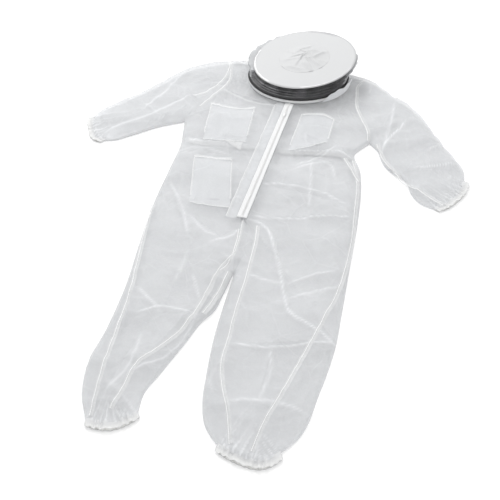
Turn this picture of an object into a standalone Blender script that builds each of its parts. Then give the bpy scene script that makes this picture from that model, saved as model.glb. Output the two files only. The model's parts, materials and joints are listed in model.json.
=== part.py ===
"""Beekeeping suit, laid out flat on its back: a one-piece suit of thin white cloth with a front zip,
gathered cuffs and ankles, patch pockets, and a round hat whose veil zips on round the collar.

Metres, +Z up, +Y from the feet to the hat. The suit is drawn about its collar and zip, and the last
step moves the whole assembly so that the origin is the middle of its footprint, on the floor.
Right and left are the wearer's, so the right sleeve is at -X. Touching pieces keep GAP between them.
"""

import math

import bpy
from mathutils import Matrix, Vector
from mathutils.geometry import intersect_point_line

# ---- Driving dimensions -------------------------------------------------------------------------

GAP = 0.0003
CLOTH = 0.002
TRIM = 0.0012
PUFF = 0.030
PUFF_RAMP = 0.055

# Body levels along Y, and the body's half width and middle at each of them
SHOULDER_Y = 0.287
ARMPIT_Y = -0.133
WAIST_Y = -0.235
HIP_Y = -0.500
CROTCH_Y = -0.790
LEG_LENGTH = 0.510
SHOULDER_HALF, SHOULDER_MIDDLE = 0.2325, -0.0175
CHEST_HALF, CHEST_MIDDLE = 0.2935, -0.0065
WAIST_HALF, WAIST_MIDDLE = 0.268, -0.009
HIP_HALF, HIP_MIDDLE = 0.285, 0.026
THIGH_HALF, THIGH_MIDDLE = 0.274, 0.051

# Legs: where each row lies between crotch and ankle, its inner edge and its outer edge
RIGHT_LEG_ROWS = (
    (0.27, 0.028, -0.207),
    (0.55, -0.015, -0.1985),
    (0.80, -0.047, -0.191),
    (1.00, -0.045, -0.148),
)
LEFT_LEG_ROWS = (
    (0.27, 0.046, 0.329),
    (0.55, 0.060, 0.325),
    (0.80, 0.082, 0.303),
    (1.00, 0.140, 0.272),
)

# Sleeves: reach and heading of the cuff's middle from the armhole's, and the way the cuff faces
RIGHT_SLEEVE_REACH, RIGHT_SLEEVE_HEADING, RIGHT_CUFF_HEADING = 0.443, -131.0, 125.7
LEFT_SLEEVE_REACH, LEFT_SLEEVE_HEADING, LEFT_CUFF_HEADING = 0.522, -53.7, 65.0
RIGHT_SLEEVE_TOP, RIGHT_SLEEVE_UNDER = (0.26, 0.093), (0.43, 0.007)
LEFT_SLEEVE_TOP, LEFT_SLEEVE_UNDER = (0.326, 0.1105), (0.42, -0.0355)
CUFF_WIDTH = 0.155
CUFF_LENGTH = 0.022
HEM_LENGTH = 0.022
ELASTIC_LENGTH = 0.012
ELASTIC_THICKNESS = 0.0012
WAIST_CASING_WIDTH = 0.024
WAIST_MARGIN = 0.012

# Collar and hood, round a vertical axis
COLLAR_X, COLLAR_Y = 0.004, 0.178
NECK_RADIUS = 0.168
NECK_START = 135.0
COLLAR_TOP = 0.0405
BACK_NECK_RISE = 0.130
COLLAR_CLEARANCE = 0.001
RING_SIDES = 32

# Front zip
ZIP_X = 0.010
ZIP_WIDTH = 0.0276
ZIP_OPENING = 0.012
ZIP_BOTTOM_Y = -0.600
COIL_WIDTH = 0.0048
COIL_HEIGHT = 0.0032
STOP_LENGTH = 0.004
FLAP_WIDTH = 0.050
SLIDER_Y = -0.055
SLIDER_LENGTH = 0.012
PULL_LENGTH = 0.024
PULL_WIDTH = 0.0068

# Gusset between the legs: width at its top, its widest and its lower end
GUSSET_TOP, GUSSET_WIDE, GUSSET_END = 0.016, 0.046, 0.004
GUSSET_WIDE_Y = -0.690
GUSSET_TOP_X, GUSSET_WIDE_X, GUSSET_END_X = 0.012, 0.041, 0.040

# Veil zip round the collar
VEIL_ZIP_TAPE = 0.009
VEIL_ZIP_HALF_COIL = 0.0012
VEIL_ZIP_START_STEP, VEIL_ZIP_STEPS = 10, 28
VEIL_SLIDER_STEP = 4
VEIL_SLIDER_PLAY = 0.0006
HOOP_WIDTH, HOOP_HEIGHT = 0.003, 0.0085

# Hat: a flat round brim with a low crown, tilted on the folded veil
HAT_X, HAT_Y, HAT_Z = 0.018, 0.200, 0.095
HAT_RISE_TO_REAR, HAT_RISE_TO_LEFT = 5.9, 5.4
HAT_RADIUS = 0.1735
BRIM_THICKNESS = 0.0026
PIPING_WIDTH, PIPING_HEIGHT = 0.0032, 0.004
CROWN_RADIUS, CROWN_HEIGHT = 0.085, 0.012
CROWN_DOME_DROP, CROWN_SHOULDER_DROP = 0.0015, 0.006
CROWN_DOME_SHARE, CROWN_SHOULDER_SHARE = 0.5, 0.88
SWEATBAND_RADIUS, SWEATBAND_HEIGHT = 0.0755, 0.017
WIRE = 0.003
VEIL_BULGE = 0.008
MESH_START, MESH_END = 185.0, 350.0

# Panel columns, as shares of the width: close together where the cloth rises from its seams
COLUMNS = (0.0, 0.06, 0.18, 0.5, 0.82, 0.94, 1.0)

# ---- Small helpers ------------------------------------------------------------------------------


def material(name, colour, roughness, metallic=0.0):
    found = bpy.data.materials.get(name)
    if found:
        return found
    made = bpy.data.materials.new(name)
    made.use_nodes = True
    shader = made.node_tree.nodes["Principled BSDF"]
    shader.inputs["Base Color"].default_value = (*colour, 1.0)
    shader.inputs["Roughness"].default_value = roughness
    shader.inputs["Metallic"].default_value = metallic
    made.diffuse_color = (*colour, 1.0)
    return made


def suit_cloth():
    return material("suit_cloth", (0.80, 0.81, 0.83), 0.6)


def white_trim():
    return material("white_trim", (0.90, 0.90, 0.90), 0.6)


def elastic_webbing():
    return material("elastic_webbing", (0.85, 0.85, 0.83), 0.7)


def coil_nylon():
    return material("coil_nylon", (0.92, 0.92, 0.92), 0.35)


def slider_enamel():
    return material("slider_enamel", (0.88, 0.88, 0.88), 0.3, 0.6)


def hat_cloth():
    return material("hat_cloth", (0.82, 0.82, 0.83), 0.7)


def black_mesh():
    return material("black_mesh", (0.03, 0.03, 0.035), 0.6)


def black_binding():
    return material("black_binding", (0.02, 0.02, 0.022), 0.6)


def spring_wire():
    return material("spring_wire", (0.75, 0.75, 0.76), 0.35, 0.9)


def body_frame(name, origin, parent=None):
    """An empty on a moving body's joint axis, or the assembly's own."""
    empty = bpy.data.objects.new(name, None)
    empty.empty_display_size = 0.05
    bpy.context.collection.objects.link(empty)
    empty.parent = parent
    empty["origin"] = tuple(origin)
    base = Vector(parent["origin"]) if parent else Vector()
    empty.location = Vector(origin) - base
    return empty


def solid(name, corners, faces, finish, body, place=None):
    """One closed object from corners and faces, with its origin on its body's frame."""
    origin = Vector(body["origin"])
    place = place or Matrix()
    mesh = bpy.data.meshes.new(name)
    mesh.from_pydata([place @ Vector(corner) - origin for corner in corners], [], faces)
    mesh.validate()
    mesh.materials.append(finish)
    made = bpy.data.objects.new(name, mesh)
    bpy.context.collection.objects.link(made)
    made.parent = body
    mesh.shade_smooth()
    mesh.set_sharp_from_angle(angle=math.radians(35))
    return made


def fair(rows, at):
    """A smooth curve through rows of (place, value), read at one place."""
    rows = sorted(rows)
    slopes = []
    for i in range(len(rows)):
        before, after = rows[max(i - 1, 0)], rows[min(i + 1, len(rows) - 1)]
        slopes.append((after[1] - before[1]) / (after[0] - before[0]))
    for i in range(len(rows) - 1):
        (p0, v0), (p1, v1) = rows[i], rows[i + 1]
        if at <= p1 or i == len(rows) - 2:
            break
    span = p1 - p0
    t = (at - p0) / span
    return (
        (2 * t**3 - 3 * t**2 + 1) * v0
        + (t**3 - 2 * t**2 + t) * span * slopes[i]
        + (3 * t**2 - 2 * t**3) * v1
        + (t**3 - t**2) * span * slopes[i + 1]
    )


def between(a, b, t):
    return Vector(a).lerp(Vector(b), t)


def steps(start, end, count):
    return [start + (end - start) * i / count for i in range(count + 1)]


def bowed(start, end, lean, bulge, t):
    """A point on the curve from start to end that bulges to the left of its way, at share t."""
    start, end = Vector(start), Vector(end)
    way = end - start
    side = Vector((-way.y, way.x)).normalized()
    control = start + way * lean + side * bulge
    return start * (1 - t) ** 2 + control * 2 * t * (1 - t) + end * t**2


def on_circle(radius, angle, x=COLLAR_X, y=COLLAR_Y):
    turn = math.radians(angle)
    return Vector((x + radius * math.cos(turn), y + radius * math.sin(turn)))


# ---- The suit's outline -------------------------------------------------------------------------

RIGHT, LEFT = -1, 1


def level_edge(side, half, middle):
    return middle + side * half


def shoulder_tip(side):
    return Vector((level_edge(side, SHOULDER_HALF, SHOULDER_MIDDLE), SHOULDER_Y))


def armpit(side):
    return Vector((level_edge(side, CHEST_HALF, CHEST_MIDDLE), ARMPIT_Y))


def leg_rows(side):
    return RIGHT_LEG_ROWS if side == RIGHT else LEFT_LEG_ROWS


def leg_y(share):
    return CROTCH_Y - share * LEG_LENGTH


def outer_edge(side, y):
    rows = [
        (ARMPIT_Y, level_edge(side, CHEST_HALF, CHEST_MIDDLE)),
        (WAIST_Y, level_edge(side, WAIST_HALF, WAIST_MIDDLE)),
        (HIP_Y, level_edge(side, HIP_HALF, HIP_MIDDLE)),
        (CROTCH_Y, level_edge(side, THIGH_HALF, THIGH_MIDDLE)),
    ]
    rows += [(leg_y(share), outer) for share, _, outer in leg_rows(side)]
    return Vector((fair(rows, y), y))


def inner_leg_edge(side, y):
    rows = [(CROTCH_Y, GUSSET_END_X + side * (GUSSET_END / 2 + GAP))]
    rows += [(leg_y(share), inner) for share, inner, _ in leg_rows(side)]
    return Vector((fair(rows, y), y))


def gusset_edge(side, y):
    top = GUSSET_TOP_X + side * GUSSET_TOP / 2
    wide = GUSSET_WIDE_X + side * GUSSET_WIDE / 2
    end = GUSSET_END_X + side * GUSSET_END / 2
    if y > GUSSET_WIDE_Y:
        share = (y - ZIP_BOTTOM_Y) / (GUSSET_WIDE_Y - ZIP_BOTTOM_Y)
        return Vector((top + (wide - top) * share, y))
    share = (y - GUSSET_WIDE_Y) / (CROTCH_Y - GUSSET_WIDE_Y)
    return Vector((wide + (end - wide) * share, y))


def sleeve(side):
    """The sleeve's corners: shoulder tip, armpit, and the top and underside of its cuff end."""
    reach = RIGHT_SLEEVE_REACH if side == RIGHT else LEFT_SLEEVE_REACH
    heading = math.radians(RIGHT_SLEEVE_HEADING if side == RIGHT else LEFT_SLEEVE_HEADING)
    facing = math.radians(RIGHT_CUFF_HEADING if side == RIGHT else LEFT_CUFF_HEADING)
    middle = between(shoulder_tip(side), armpit(side), 0.5)
    cuff = middle + reach * Vector((math.cos(heading), math.sin(heading)))
    half = CUFF_WIDTH / 2 * Vector((math.cos(facing), math.sin(facing)))
    return shoulder_tip(side), armpit(side), cuff + half, cuff - half


def sleeve_top(side, t):
    tip, _, cuff_top, _ = sleeve(side)
    lean, bulge = RIGHT_SLEEVE_TOP if side == RIGHT else LEFT_SLEEVE_TOP
    return bowed(tip, cuff_top, lean, side * bulge, t)


def sleeve_under(side, t):
    _, pit, _, cuff_under = sleeve(side)
    lean, bulge = RIGHT_SLEEVE_UNDER if side == RIGHT else LEFT_SLEEVE_UNDER
    return bowed(pit, cuff_under, lean, side * bulge, t)


def neck_angle(side, angle):
    """Angles are given for the wearer's right, and mirrored for the left."""
    return angle if side == RIGHT else 180.0 - angle


def neck_point(side, angle):
    return on_circle(NECK_RADIUS, neck_angle(side, angle))


def zip_edge_x(side):
    return ZIP_X + side * ZIP_OPENING / 2


def neck_end(side):
    """The neckline's last angle, where it meets the zip."""
    across = side * (zip_edge_x(side) - COLLAR_X)
    return 270.0 - math.degrees(math.asin(across / NECK_RADIUS))


def closed_edges():
    """The lines along which front and back cloth meet, so the front lies low there."""
    lines = []
    for side in (RIGHT, LEFT):
        shares = steps(0.0, 1.0, 10)
        ys = steps(ARMPIT_Y, leg_y(1.0), 16)
        legs = steps(CROTCH_Y, leg_y(1.0), 8)
        lines.append([sleeve_top(side, t) for t in shares])
        lines.append([sleeve_under(side, t) for t in shares])
        lines.append([outer_edge(side, y) for y in ys])
        lines.append([inner_leg_edge(side, y) for y in legs])
        lines.append([shoulder_tip(side), neck_point(side, NECK_START)])
    rear = steps(NECK_START, 180.0 - NECK_START, 8)
    lines.append([on_circle(NECK_RADIUS, angle) for angle in rear])
    return lines


EDGES = closed_edges()
EDGE_HEIGHT = 2 * CLOTH + GAP


def seam_distance(spot):
    nearest = PUFF_RAMP
    for line in EDGES:
        for a, b in zip(line, line[1:]):
            foot, share = intersect_point_line(spot, a, b)
            foot = a if share < 0 else b if share > 1 else foot
            nearest = min(nearest, (foot - spot).length)
    return nearest


def front_height(spot):
    """Height of the front cloth's outer face: low at the seams, level over the rest."""
    rise = math.sin(math.pi / 2 * seam_distance(Vector(spot)) / PUFF_RAMP)
    return EDGE_HEIGHT + (PUFF - EDGE_HEIGHT) * rise


# ---- Shapes -------------------------------------------------------------------------------------


def raised(spot, height):
    return (spot.x, spot.y, height)


def panel(name, rows, finish, body, columns=COLUMNS):
    """A sheet that follows the front cloth: rows are pairs of edge points, and top is outside."""
    grid = [[between(a, b, share) for share in columns] for a, b in rows]
    across, along = len(columns), len(grid)
    corners = [raised(spot, front_height(spot)) for row in grid for spot in row]
    corners += [(x, y, z - CLOTH) for x, y, z in corners]
    below = across * along
    faces = []
    for i in range(along - 1):
        for j in range(across - 1):
            a = i * across + j
            quad = [a, a + across, a + across + 1, a + 1]
            faces.append(quad)
            faces.append([below + k for k in reversed(quad)])
    rim = [j for j in range(across)]
    rim += [i * across + across - 1 for i in range(1, along)]
    rim += [(along - 1) * across + j for j in reversed(range(across - 1))]
    rim += [i * across for i in reversed(range(1, along - 1))]
    for a, b in zip(rim, rim[1:] + rim[:1]):
        faces.append([a, b, below + b, below + a])
    return solid(name, corners, facing_out(corners, faces), finish, body)


def facing_out(corners, faces):
    """The faces, turned over if they enclose a negative volume."""
    volume = 0.0
    for face in faces:
        first = Vector(corners[face[0]])
        for a, b in zip(face[1:], face[2:]):
            volume += first.dot(Vector(corners[a]).cross(Vector(corners[b])))
    return faces if volume > 0 else [list(reversed(face)) for face in faces]


def tube_loop(row, level, inset, drop, lift):
    """A flat tube's section between a row's edge points: over the top, and back underneath."""
    a, b = row
    margin = inset / (b - a).length
    shares = [min(max(share, margin), 1 - margin) for share in COLUMNS]
    over = []
    for share in shares:
        height = front_height(between(*level, share)) - drop
        over.append(raised(between(a, b, share), height))
    under = [raised(between(a, b, share), lift) for share in reversed(shares)]
    return over + under


def tube(name, rows, finish, body, level=None, depth=0.0, wall=CLOTH):
    """A hollow flat tube along rows of edge points, open at both ends.

    With level, its height is that of the cloth along that one row. With depth, it is nested
    inside a tube of cloth on the same rows, with depth to spare all round.
    """
    seam = 3 * CLOTH
    inset = seam + depth if depth else 0.0
    sunk = CLOTH + depth if depth else 0.0
    lined = sunk + wall
    outer = [tube_loop(row, level or row, inset, sunk, sunk) for row in rows]
    inner = [tube_loop(row, level or row, inset + seam, lined, lined) for row in rows]
    around, along = len(outer[0]), len(rows)
    corners = [corner for loop in outer + inner for corner in loop]
    inside = around * along
    faces = []
    for k in range(around):
        n = (k + 1) % around
        for i in range(along - 1):
            a, b = i * around + k, i * around + n
            faces.append([a, b, b + around, a + around])
            faces.append([inside + a + around, inside + b + around, inside + b, inside + a])
        faces.append([k, inside + k, inside + n, n])
        last = (along - 1) * around
        faces.append([last + n, inside + last + n, inside + last + k, last + k])
    return solid(name, corners, facing_out(corners, faces), finish, body)


def plate(name, outline, bottom, top, finish, body, place=None):
    """A flat plate with the given outline."""
    count = len(outline)
    corners = [(x, y, bottom) for x, y in outline] + [(x, y, top) for x, y in outline]
    faces = [list(reversed(range(count))), list(range(count, 2 * count))]
    for a in range(count):
        b = (a + 1) % count
        faces.append([a, b, count + b, count + a])
    return solid(name, corners, facing_out(corners, faces), finish, body, place)


def strip(name, x, y, z, finish, body):
    """A rectangular block between the given limits."""
    outline = [(x[0], y[0]), (x[1], y[0]), (x[1], y[1]), (x[0], y[1])]
    return plate(name, outline, z[0], z[1], finish, body)


COLLAR_MIDDLE = (COLLAR_X, COLLAR_Y)


def ring(name, radii, heights, finish, body, arc=(0.0, 360.0), place=None, middle=COLLAR_MIDDLE):
    """A band round a vertical axis. Its lower edge may be a function of the angle."""
    inner, outer = radii
    full = arc[1] - arc[0] > 359.9
    count = max(2, round(RING_SIDES * (arc[1] - arc[0]) / 360))
    angles = steps(arc[0], arc[1], count)[: count if full else count + 1]
    corners = []
    for angle in angles:
        low = heights[0](angle) if callable(heights[0]) else heights[0]
        top = heights[1]
        for radius, z in ((inner, low), (outer, low), (outer, top), (inner, top)):
            corners.append(raised(on_circle(radius, angle, *middle), z))
    faces = []
    for i in range(count):
        n = (i + 1) % len(angles)
        for k in range(4):
            m = (k + 1) % 4
            faces.append([4 * i + k, 4 * n + k, 4 * n + m, 4 * i + m])
    if not full:
        faces += [[0, 1, 2, 3], [4 * count + k for k in (3, 2, 1, 0)]]
    return solid(name, corners, facing_out(corners, faces), finish, body, place)


def turned(name, profile, finish, body, place):
    """A body of revolution about Z from a closed profile of (radius, height)."""
    corners, loops = [], []
    for radius, z in profile:
        sides = RING_SIDES if radius else 1
        loops.append([len(corners) + k for k in range(sides)])
        corners += [raised(on_circle(radius, 360 * k / sides, 0, 0), z) for k in range(sides)]
    faces = []
    for a, b in zip(loops, loops[1:] + loops[:1]):
        for k in range(RING_SIDES):
            n = (k + 1) % RING_SIDES
            quad = [a[k % len(a)], a[n % len(a)], b[n % len(b)], b[k % len(b)]]
            corners_used = list(dict.fromkeys(quad))
            if len(corners_used) > 2:
                faces.append(corners_used)
    return solid(name, corners, facing_out(corners, faces), finish, body, place)


# ---- Cloth of the suit --------------------------------------------------------------------------


def side_name(side):
    return "right" if side == RIGHT else "left"


def body_rows(side):
    """Edge points of a front panel from shoulder to ankle, zip side first."""
    neck = [angle for angle in steps(NECK_START, 270.0, 12) if angle < neck_end(side) - 1]
    neck.append(neck_end(side))
    rows = []
    for i, angle in enumerate(neck):
        hole = between(shoulder_tip(side), armpit(side), i / (len(neck) - 1))
        rows.append((neck_point(side, angle), hole - Vector((side * GAP / 2, 0))))
    top = rows[-1][0].y
    for share in steps(0.0, 1.0, 5)[1:]:
        inner = Vector((zip_edge_x(side), top + (ZIP_BOTTOM_Y - top) * share))
        rows.append((inner, outer_edge(side, ARMPIT_Y + (ZIP_BOTTOM_Y - ARMPIT_Y) * share)))
    for y in (ZIP_BOTTOM_Y - GAP, (ZIP_BOTTOM_Y + GUSSET_WIDE_Y) / 2, GUSSET_WIDE_Y, CROTCH_Y):
        rows.append((gusset_edge(side, y) + Vector((side * GAP, 0)), outer_edge(side, y)))
    for share in steps(0.0, 1.0, 6)[1:]:
        rows.append((inner_leg_edge(side, leg_y(share)), outer_edge(side, leg_y(share))))
    return rows


def make_front_panel(side, suit):
    panel(f"{side_name(side)}_front_panel", body_rows(side), suit_cloth(), suit)


def back_seam_x(y):
    share = (y - SHOULDER_Y) / (CROTCH_Y - SHOULDER_Y)
    return ZIP_X + (GUSSET_END_X - ZIP_X) * share


def back_neck(t):
    return bowed(shoulder_tip(RIGHT), shoulder_tip(LEFT), 0.5, BACK_NECK_RISE, t)


def make_back_panel(side, suit):
    middle = back_neck(0.5).y
    shares = steps(0.0, 0.5, 6) if side == RIGHT else steps(1.0, 0.5, 6)
    outline = [back_neck(t) for t in shares[:-1]]
    for y in (middle, CROTCH_Y):
        outline.append(Vector((back_seam_x(y) + side * GAP / 2, y)))
    outline += [inner_leg_edge(side, leg_y(share)) for share in steps(0.0, 1.0, 6)[1:]]
    outline += [outer_edge(side, leg_y(share)) for share in steps(1.0, 0.0, 6)]
    outline += [outer_edge(side, y) for y in (HIP_Y, (HIP_Y + WAIST_Y) / 2, WAIST_Y)]
    outline.append(armpit(side))
    hole = Vector((side * GAP / 2, 0))
    outline[0] = outline[0] - hole
    outline[-1] = outline[-1] - hole
    plate(f"{side_name(side)}_back_panel", outline, 0.0, CLOTH, suit_cloth(), suit)


def make_sleeve(side, suit):
    shift = Vector((side * GAP / 2, 0))
    rows = [(sleeve_top(side, t), sleeve_under(side, t)) for t in steps(0.0, 1.0, 8)]
    rows[0] = (rows[0][0] + shift, rows[0][1] + shift)
    tube(f"{side_name(side)}_sleeve", rows, suit_cloth(), suit)


def make_gathered_end(name, level, way, length, suit):
    """A hem casing that carries on from a sleeve or a leg, with its elastic inside."""
    a, b = level
    rows = [(a + way * reach, b + way * reach) for reach in (GAP, GAP + length)]
    tube(f"{name}_casing", rows, white_trim(), suit, level)
    start = GAP + (length - ELASTIC_LENGTH) / 2
    rows = [(a + way * reach, b + way * reach) for reach in (start, start + ELASTIC_LENGTH)]
    tube(f"{name}_elastic", rows, elastic_webbing(), suit, level, depth=GAP, wall=TRIM)


def make_cuff(side, suit):
    _, _, top, under = sleeve(side)
    across = (top - under).normalized()
    way = Vector((across.y, -across.x)) * side
    make_gathered_end(f"{side_name(side)}_cuff", (top, under), way, CUFF_LENGTH, suit)


def make_ankle(side, suit):
    inner, outer = inner_leg_edge(side, leg_y(1.0)), outer_edge(side, leg_y(1.0))
    down = Vector((0, -1))
    make_gathered_end(f"{side_name(side)}_ankle", (inner, outer), down, HEM_LENGTH, suit)


def make_gusset(suit):
    ys = (ZIP_BOTTOM_Y - GAP, (ZIP_BOTTOM_Y + GUSSET_WIDE_Y) / 2, GUSSET_WIDE_Y, CROTCH_Y)
    rows = [(gusset_edge(RIGHT, y), gusset_edge(LEFT, y)) for y in ys]
    panel("crotch_gusset", rows, suit_cloth(), suit, columns=(0.0, 0.5, 1.0))


def make_waist_elastic(suit):
    """An elastic across the small of the back, in a casing on the inner face of the back panels."""
    limits = [outer_edge(side, WAIST_Y).x - side * WAIST_MARGIN for side in (RIGHT, LEFT)]
    floor = CLOTH + GAP
    half = ELASTIC_LENGTH / 2
    heights = (floor, floor + ELASTIC_THICKNESS)
    strip("waist_elastic", limits, (WAIST_Y - half, WAIST_Y + half), heights, elastic_webbing(), suit)
    cover = floor + ELASTIC_THICKNESS + GAP
    half = WAIST_CASING_WIDTH / 2
    heights = (cover, cover + TRIM)
    strip("waist_casing", limits, (WAIST_Y - half, WAIST_Y + half), heights, white_trim(), suit)


# Pockets, as outlines on the level front cloth
POCKETS = {
    "right_chest_pocket": (
        (-0.238, -0.036),
        (-0.149, -0.055),
        (-0.095, -0.036),
        (-0.074, -0.236),
        (-0.204, -0.250),
    ),
    "left_chest_pocket": ((0.062, -0.040), (0.166, -0.032), (0.168, -0.196), (0.062, -0.247)),
    "right_hip_pocket": ((-0.200, -0.345), (-0.090, -0.334), (-0.034, -0.557), (-0.146, -0.567)),
    "left_side_pocket_welt": ((0.172, -0.262), (0.188, -0.256), (0.226, -0.336), (0.210, -0.342)),
}


def make_pockets(suit):
    for name, outline in POCKETS.items():
        bottom = PUFF + GAP
        plate(name, outline, bottom, bottom + TRIM, suit_cloth(), suit)


def neck_cloth(angle):
    """Height of the cloth's inner face under the collar at an angle."""
    spot = on_circle(NECK_RADIUS, angle)
    rear = 180.0 - NECK_START < angle % 360 < NECK_START
    return CLOTH + GAP if rear else front_height(spot) - CLOTH


def make_collar(suit):
    radii = (NECK_RADIUS - GAP - CLOTH, NECK_RADIUS - GAP)
    ring("collar_band", radii, (neck_cloth, COLLAR_TOP), white_trim(), suit)


# ---- Zips ---------------------------------------------------------------------------------------

TAPE_BOTTOM = PUFF + GAP
COIL_TOP = TAPE_BOTTOM + COIL_HEIGHT
ZIP_TOP_Y = COLLAR_Y - NECK_RADIUS - TRIM - 2 * GAP
COIL_HALF = COIL_WIDTH / 2
CHANNEL_HALF = COIL_HALF + GAP


def make_front_zip(suit):
    run = (ZIP_BOTTOM_Y, ZIP_TOP_Y)
    coil_heights = (TAPE_BOTTOM, COIL_TOP)
    for side in (RIGHT, LEFT):
        name = side_name(side)
        near = sorted((ZIP_X + side * CHANNEL_HALF, ZIP_X + side * ZIP_WIDTH / 2))
        strip(f"{name}_zip_tape", near, run, (TAPE_BOTTOM, TAPE_BOTTOM + TRIM), white_trim(), suit)
        coil = sorted((ZIP_X + side * GAP / 2, ZIP_X + side * COIL_HALF))
        ends = (ZIP_BOTTOM_Y + STOP_LENGTH + GAP, ZIP_TOP_Y - STOP_LENGTH - GAP)
        strip(f"{name}_zip_coil", coil, ends, coil_heights, coil_nylon(), suit)
        stop = (ZIP_TOP_Y - STOP_LENGTH, ZIP_TOP_Y)
        strip(f"{name}_zip_top_stop", coil, stop, coil_heights, slider_enamel(), suit)
    bottom = (ZIP_X - COIL_HALF, ZIP_X + COIL_HALF)
    stop = (ZIP_BOTTOM_Y, ZIP_BOTTOM_Y + STOP_LENGTH)
    strip("zip_bottom_stop", bottom, stop, coil_heights, slider_enamel(), suit)
    flap_top = PUFF - CLOTH - GAP
    flap_edge = ZIP_X + ZIP_WIDTH / 2
    flap = (flap_edge - FLAP_WIDTH, flap_edge)
    strip("zip_flap", flap, run, (flap_top - TRIM, flap_top), suit_cloth(), suit)


# Slider and pull, drawn with the zip along Y, its coil's outer face at z = 0
SLIDER_FLANGE = 0.0012
SLIDER_PLATE = 0.0012
BAIL_LENGTH, BAIL_WIDTH, BAIL_BAR = 0.0062, 0.0026, 0.0010
BAIL_HOLE = 0.0020
PIN = 0.0010
PIVOT_HEIGHT = GAP + SLIDER_PLATE + BAIL_HOLE / 2


def slider_section(flanges):
    """The slider across the zip: a plate with a flange down one side of the coil, or down each."""
    inner, outer = CHANNEL_HALF, CHANNEL_HALF + SLIDER_FLANGE
    top, bottom = GAP + SLIDER_PLATE, TRIM + GAP - COIL_HEIGHT
    near = [(-outer, top), (-outer, GAP)]
    if flanges == 2:
        near = [(-outer, top), (-outer, bottom), (-inner, bottom), (-inner, GAP)]
    return near + [(inner, GAP), (inner, bottom), (outer, bottom), (outer, top)]


def make_slider(name, finish, body, place, flanges=2):
    """A slider whose bail stands on its plate, joined to it as one casting."""
    upright = Matrix(((1, 0, 0, 0), (0, 0, 1, 0), (0, 1, 0, 0), (0, 0, 0, 1)))
    half = SLIDER_LENGTH / 2
    base = plate(name, slider_section(flanges), -half, half, finish, body, place @ upright)
    turn = Matrix(((0, 0, 1, 0), (1, 0, 0, 0), (0, 1, 0, 0), (0, 0, 0, 1)))
    sunk = GAP + SLIDER_PLATE / 2
    crown = PIVOT_HEIGHT + BAIL_HOLE / 2
    top = crown + BAIL_BAR
    reach, clear = BAIL_LENGTH / 2, BAIL_LENGTH / 2 - BAIL_BAR
    arch = [(-reach, sunk), (-clear, sunk), (-clear, crown), (clear, crown), (clear, sunk)]
    arch += [(reach, sunk), (reach, top), (-reach, top)]
    bail = plate(f"{name}_bail", arch, -BAIL_WIDTH / 2, BAIL_WIDTH / 2, finish, body, place @ turn)
    bail.hide_render = True
    bail.display_type = "WIRE"
    join = base.modifiers.new("bail", "BOOLEAN")
    join.operation = "UNION"
    join.object = bail
    return base


def make_pull(name, finish, body, place, length):
    """A tab with a window at its end: the window's end bar is the pin that turns in the bail."""
    arm_in, arm_out = BAIL_WIDTH / 2 + GAP, PULL_WIDTH / 2
    pin, window = PIN / 2, BAIL_LENGTH / 2 + 2 * GAP
    outline = [(-arm_out, pin), (arm_out, pin), (arm_out, -length), (-arm_out, -length)]
    lift = Matrix.Translation((0, 0, PIVOT_HEIGHT))
    tab = plate(name, outline, -pin, pin, finish, body, place @ lift)
    hole = [(-arm_in, -pin), (arm_in, -pin), (arm_in, -window), (-arm_in, -window)]
    cutter = plate(f"{name}_window", hole, -PIN, PIN, finish, body, place @ lift)
    cutter.hide_render = True
    cutter.display_type = "WIRE"
    cut = tab.modifiers.new("window", "BOOLEAN")
    cut.operation = "DIFFERENCE"
    cut.object = cutter
    return tab


def make_front_slider(suit):
    spot = Vector((ZIP_X, SLIDER_Y, COIL_TOP))
    slider = body_frame("front_slider_frame", spot, suit)
    make_slider("front_zip_slider", slider_enamel(), slider, Matrix.Translation(spot))
    pull = body_frame("front_pull_frame", spot + Vector((0, 0, PIVOT_HEIGHT)), slider)
    make_pull("front_zip_pull", slider_enamel(), pull, Matrix.Translation(spot), PULL_LENGTH)


LOWER_TAPE_TOP = COLLAR_TOP + COLLAR_CLEARANCE
SEAM_Z = LOWER_TAPE_TOP + 1.5 * GAP + VEIL_ZIP_HALF_COIL
TAPE_RADIUS = NECK_RADIUS
VEIL_COIL_RADIUS = TAPE_RADIUS + COIL_HEIGHT


def make_veil_zip(suit, hood):
    """Two tapes round the collar, on the suit and on the hood, with a coil at their meeting edges."""
    step = 360 / RING_SIDES
    arc = (VEIL_ZIP_START_STEP * step, (VEIL_ZIP_START_STEP + VEIL_ZIP_STEPS) * step)
    tape = (TAPE_RADIUS, TAPE_RADIUS + TRIM)
    coil = (TAPE_RADIUS, VEIL_COIL_RADIUS)
    half = GAP / 2
    low = (LOWER_TAPE_TOP - VEIL_ZIP_TAPE, LOWER_TAPE_TOP)
    ring("collar_zip_tape", tape, low, white_trim(), suit, arc)
    low = (LOWER_TAPE_TOP + GAP, SEAM_Z - half)
    ring("collar_zip_coil", coil, low, coil_nylon(), suit, arc)
    high = (SEAM_Z + half, SEAM_Z + half + VEIL_ZIP_HALF_COIL)
    ring("veil_zip_coil", coil, high, coil_nylon(), hood, arc)
    high = (high[1] + GAP, HOOP_TOP)
    ring("veil_zip_tape", tape, high, white_trim(), hood, arc)


def veil_slider_place():
    """The slider's frame on the collar: height radial, length along the zip, flange below."""
    turn = math.radians(VEIL_SLIDER_STEP * 360 / RING_SIDES)
    out = Vector((math.cos(turn), math.sin(turn), 0))
    along = Vector((-math.sin(turn), math.cos(turn), 0))
    up = out.cross(along)
    spot = Vector((COLLAR_X, COLLAR_Y, SEAM_Z)) + out * (VEIL_COIL_RADIUS + VEIL_SLIDER_PLAY)
    turned_to = Matrix((-up, along, out)).transposed().to_4x4()
    return Matrix.Translation(spot) @ turned_to


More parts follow.
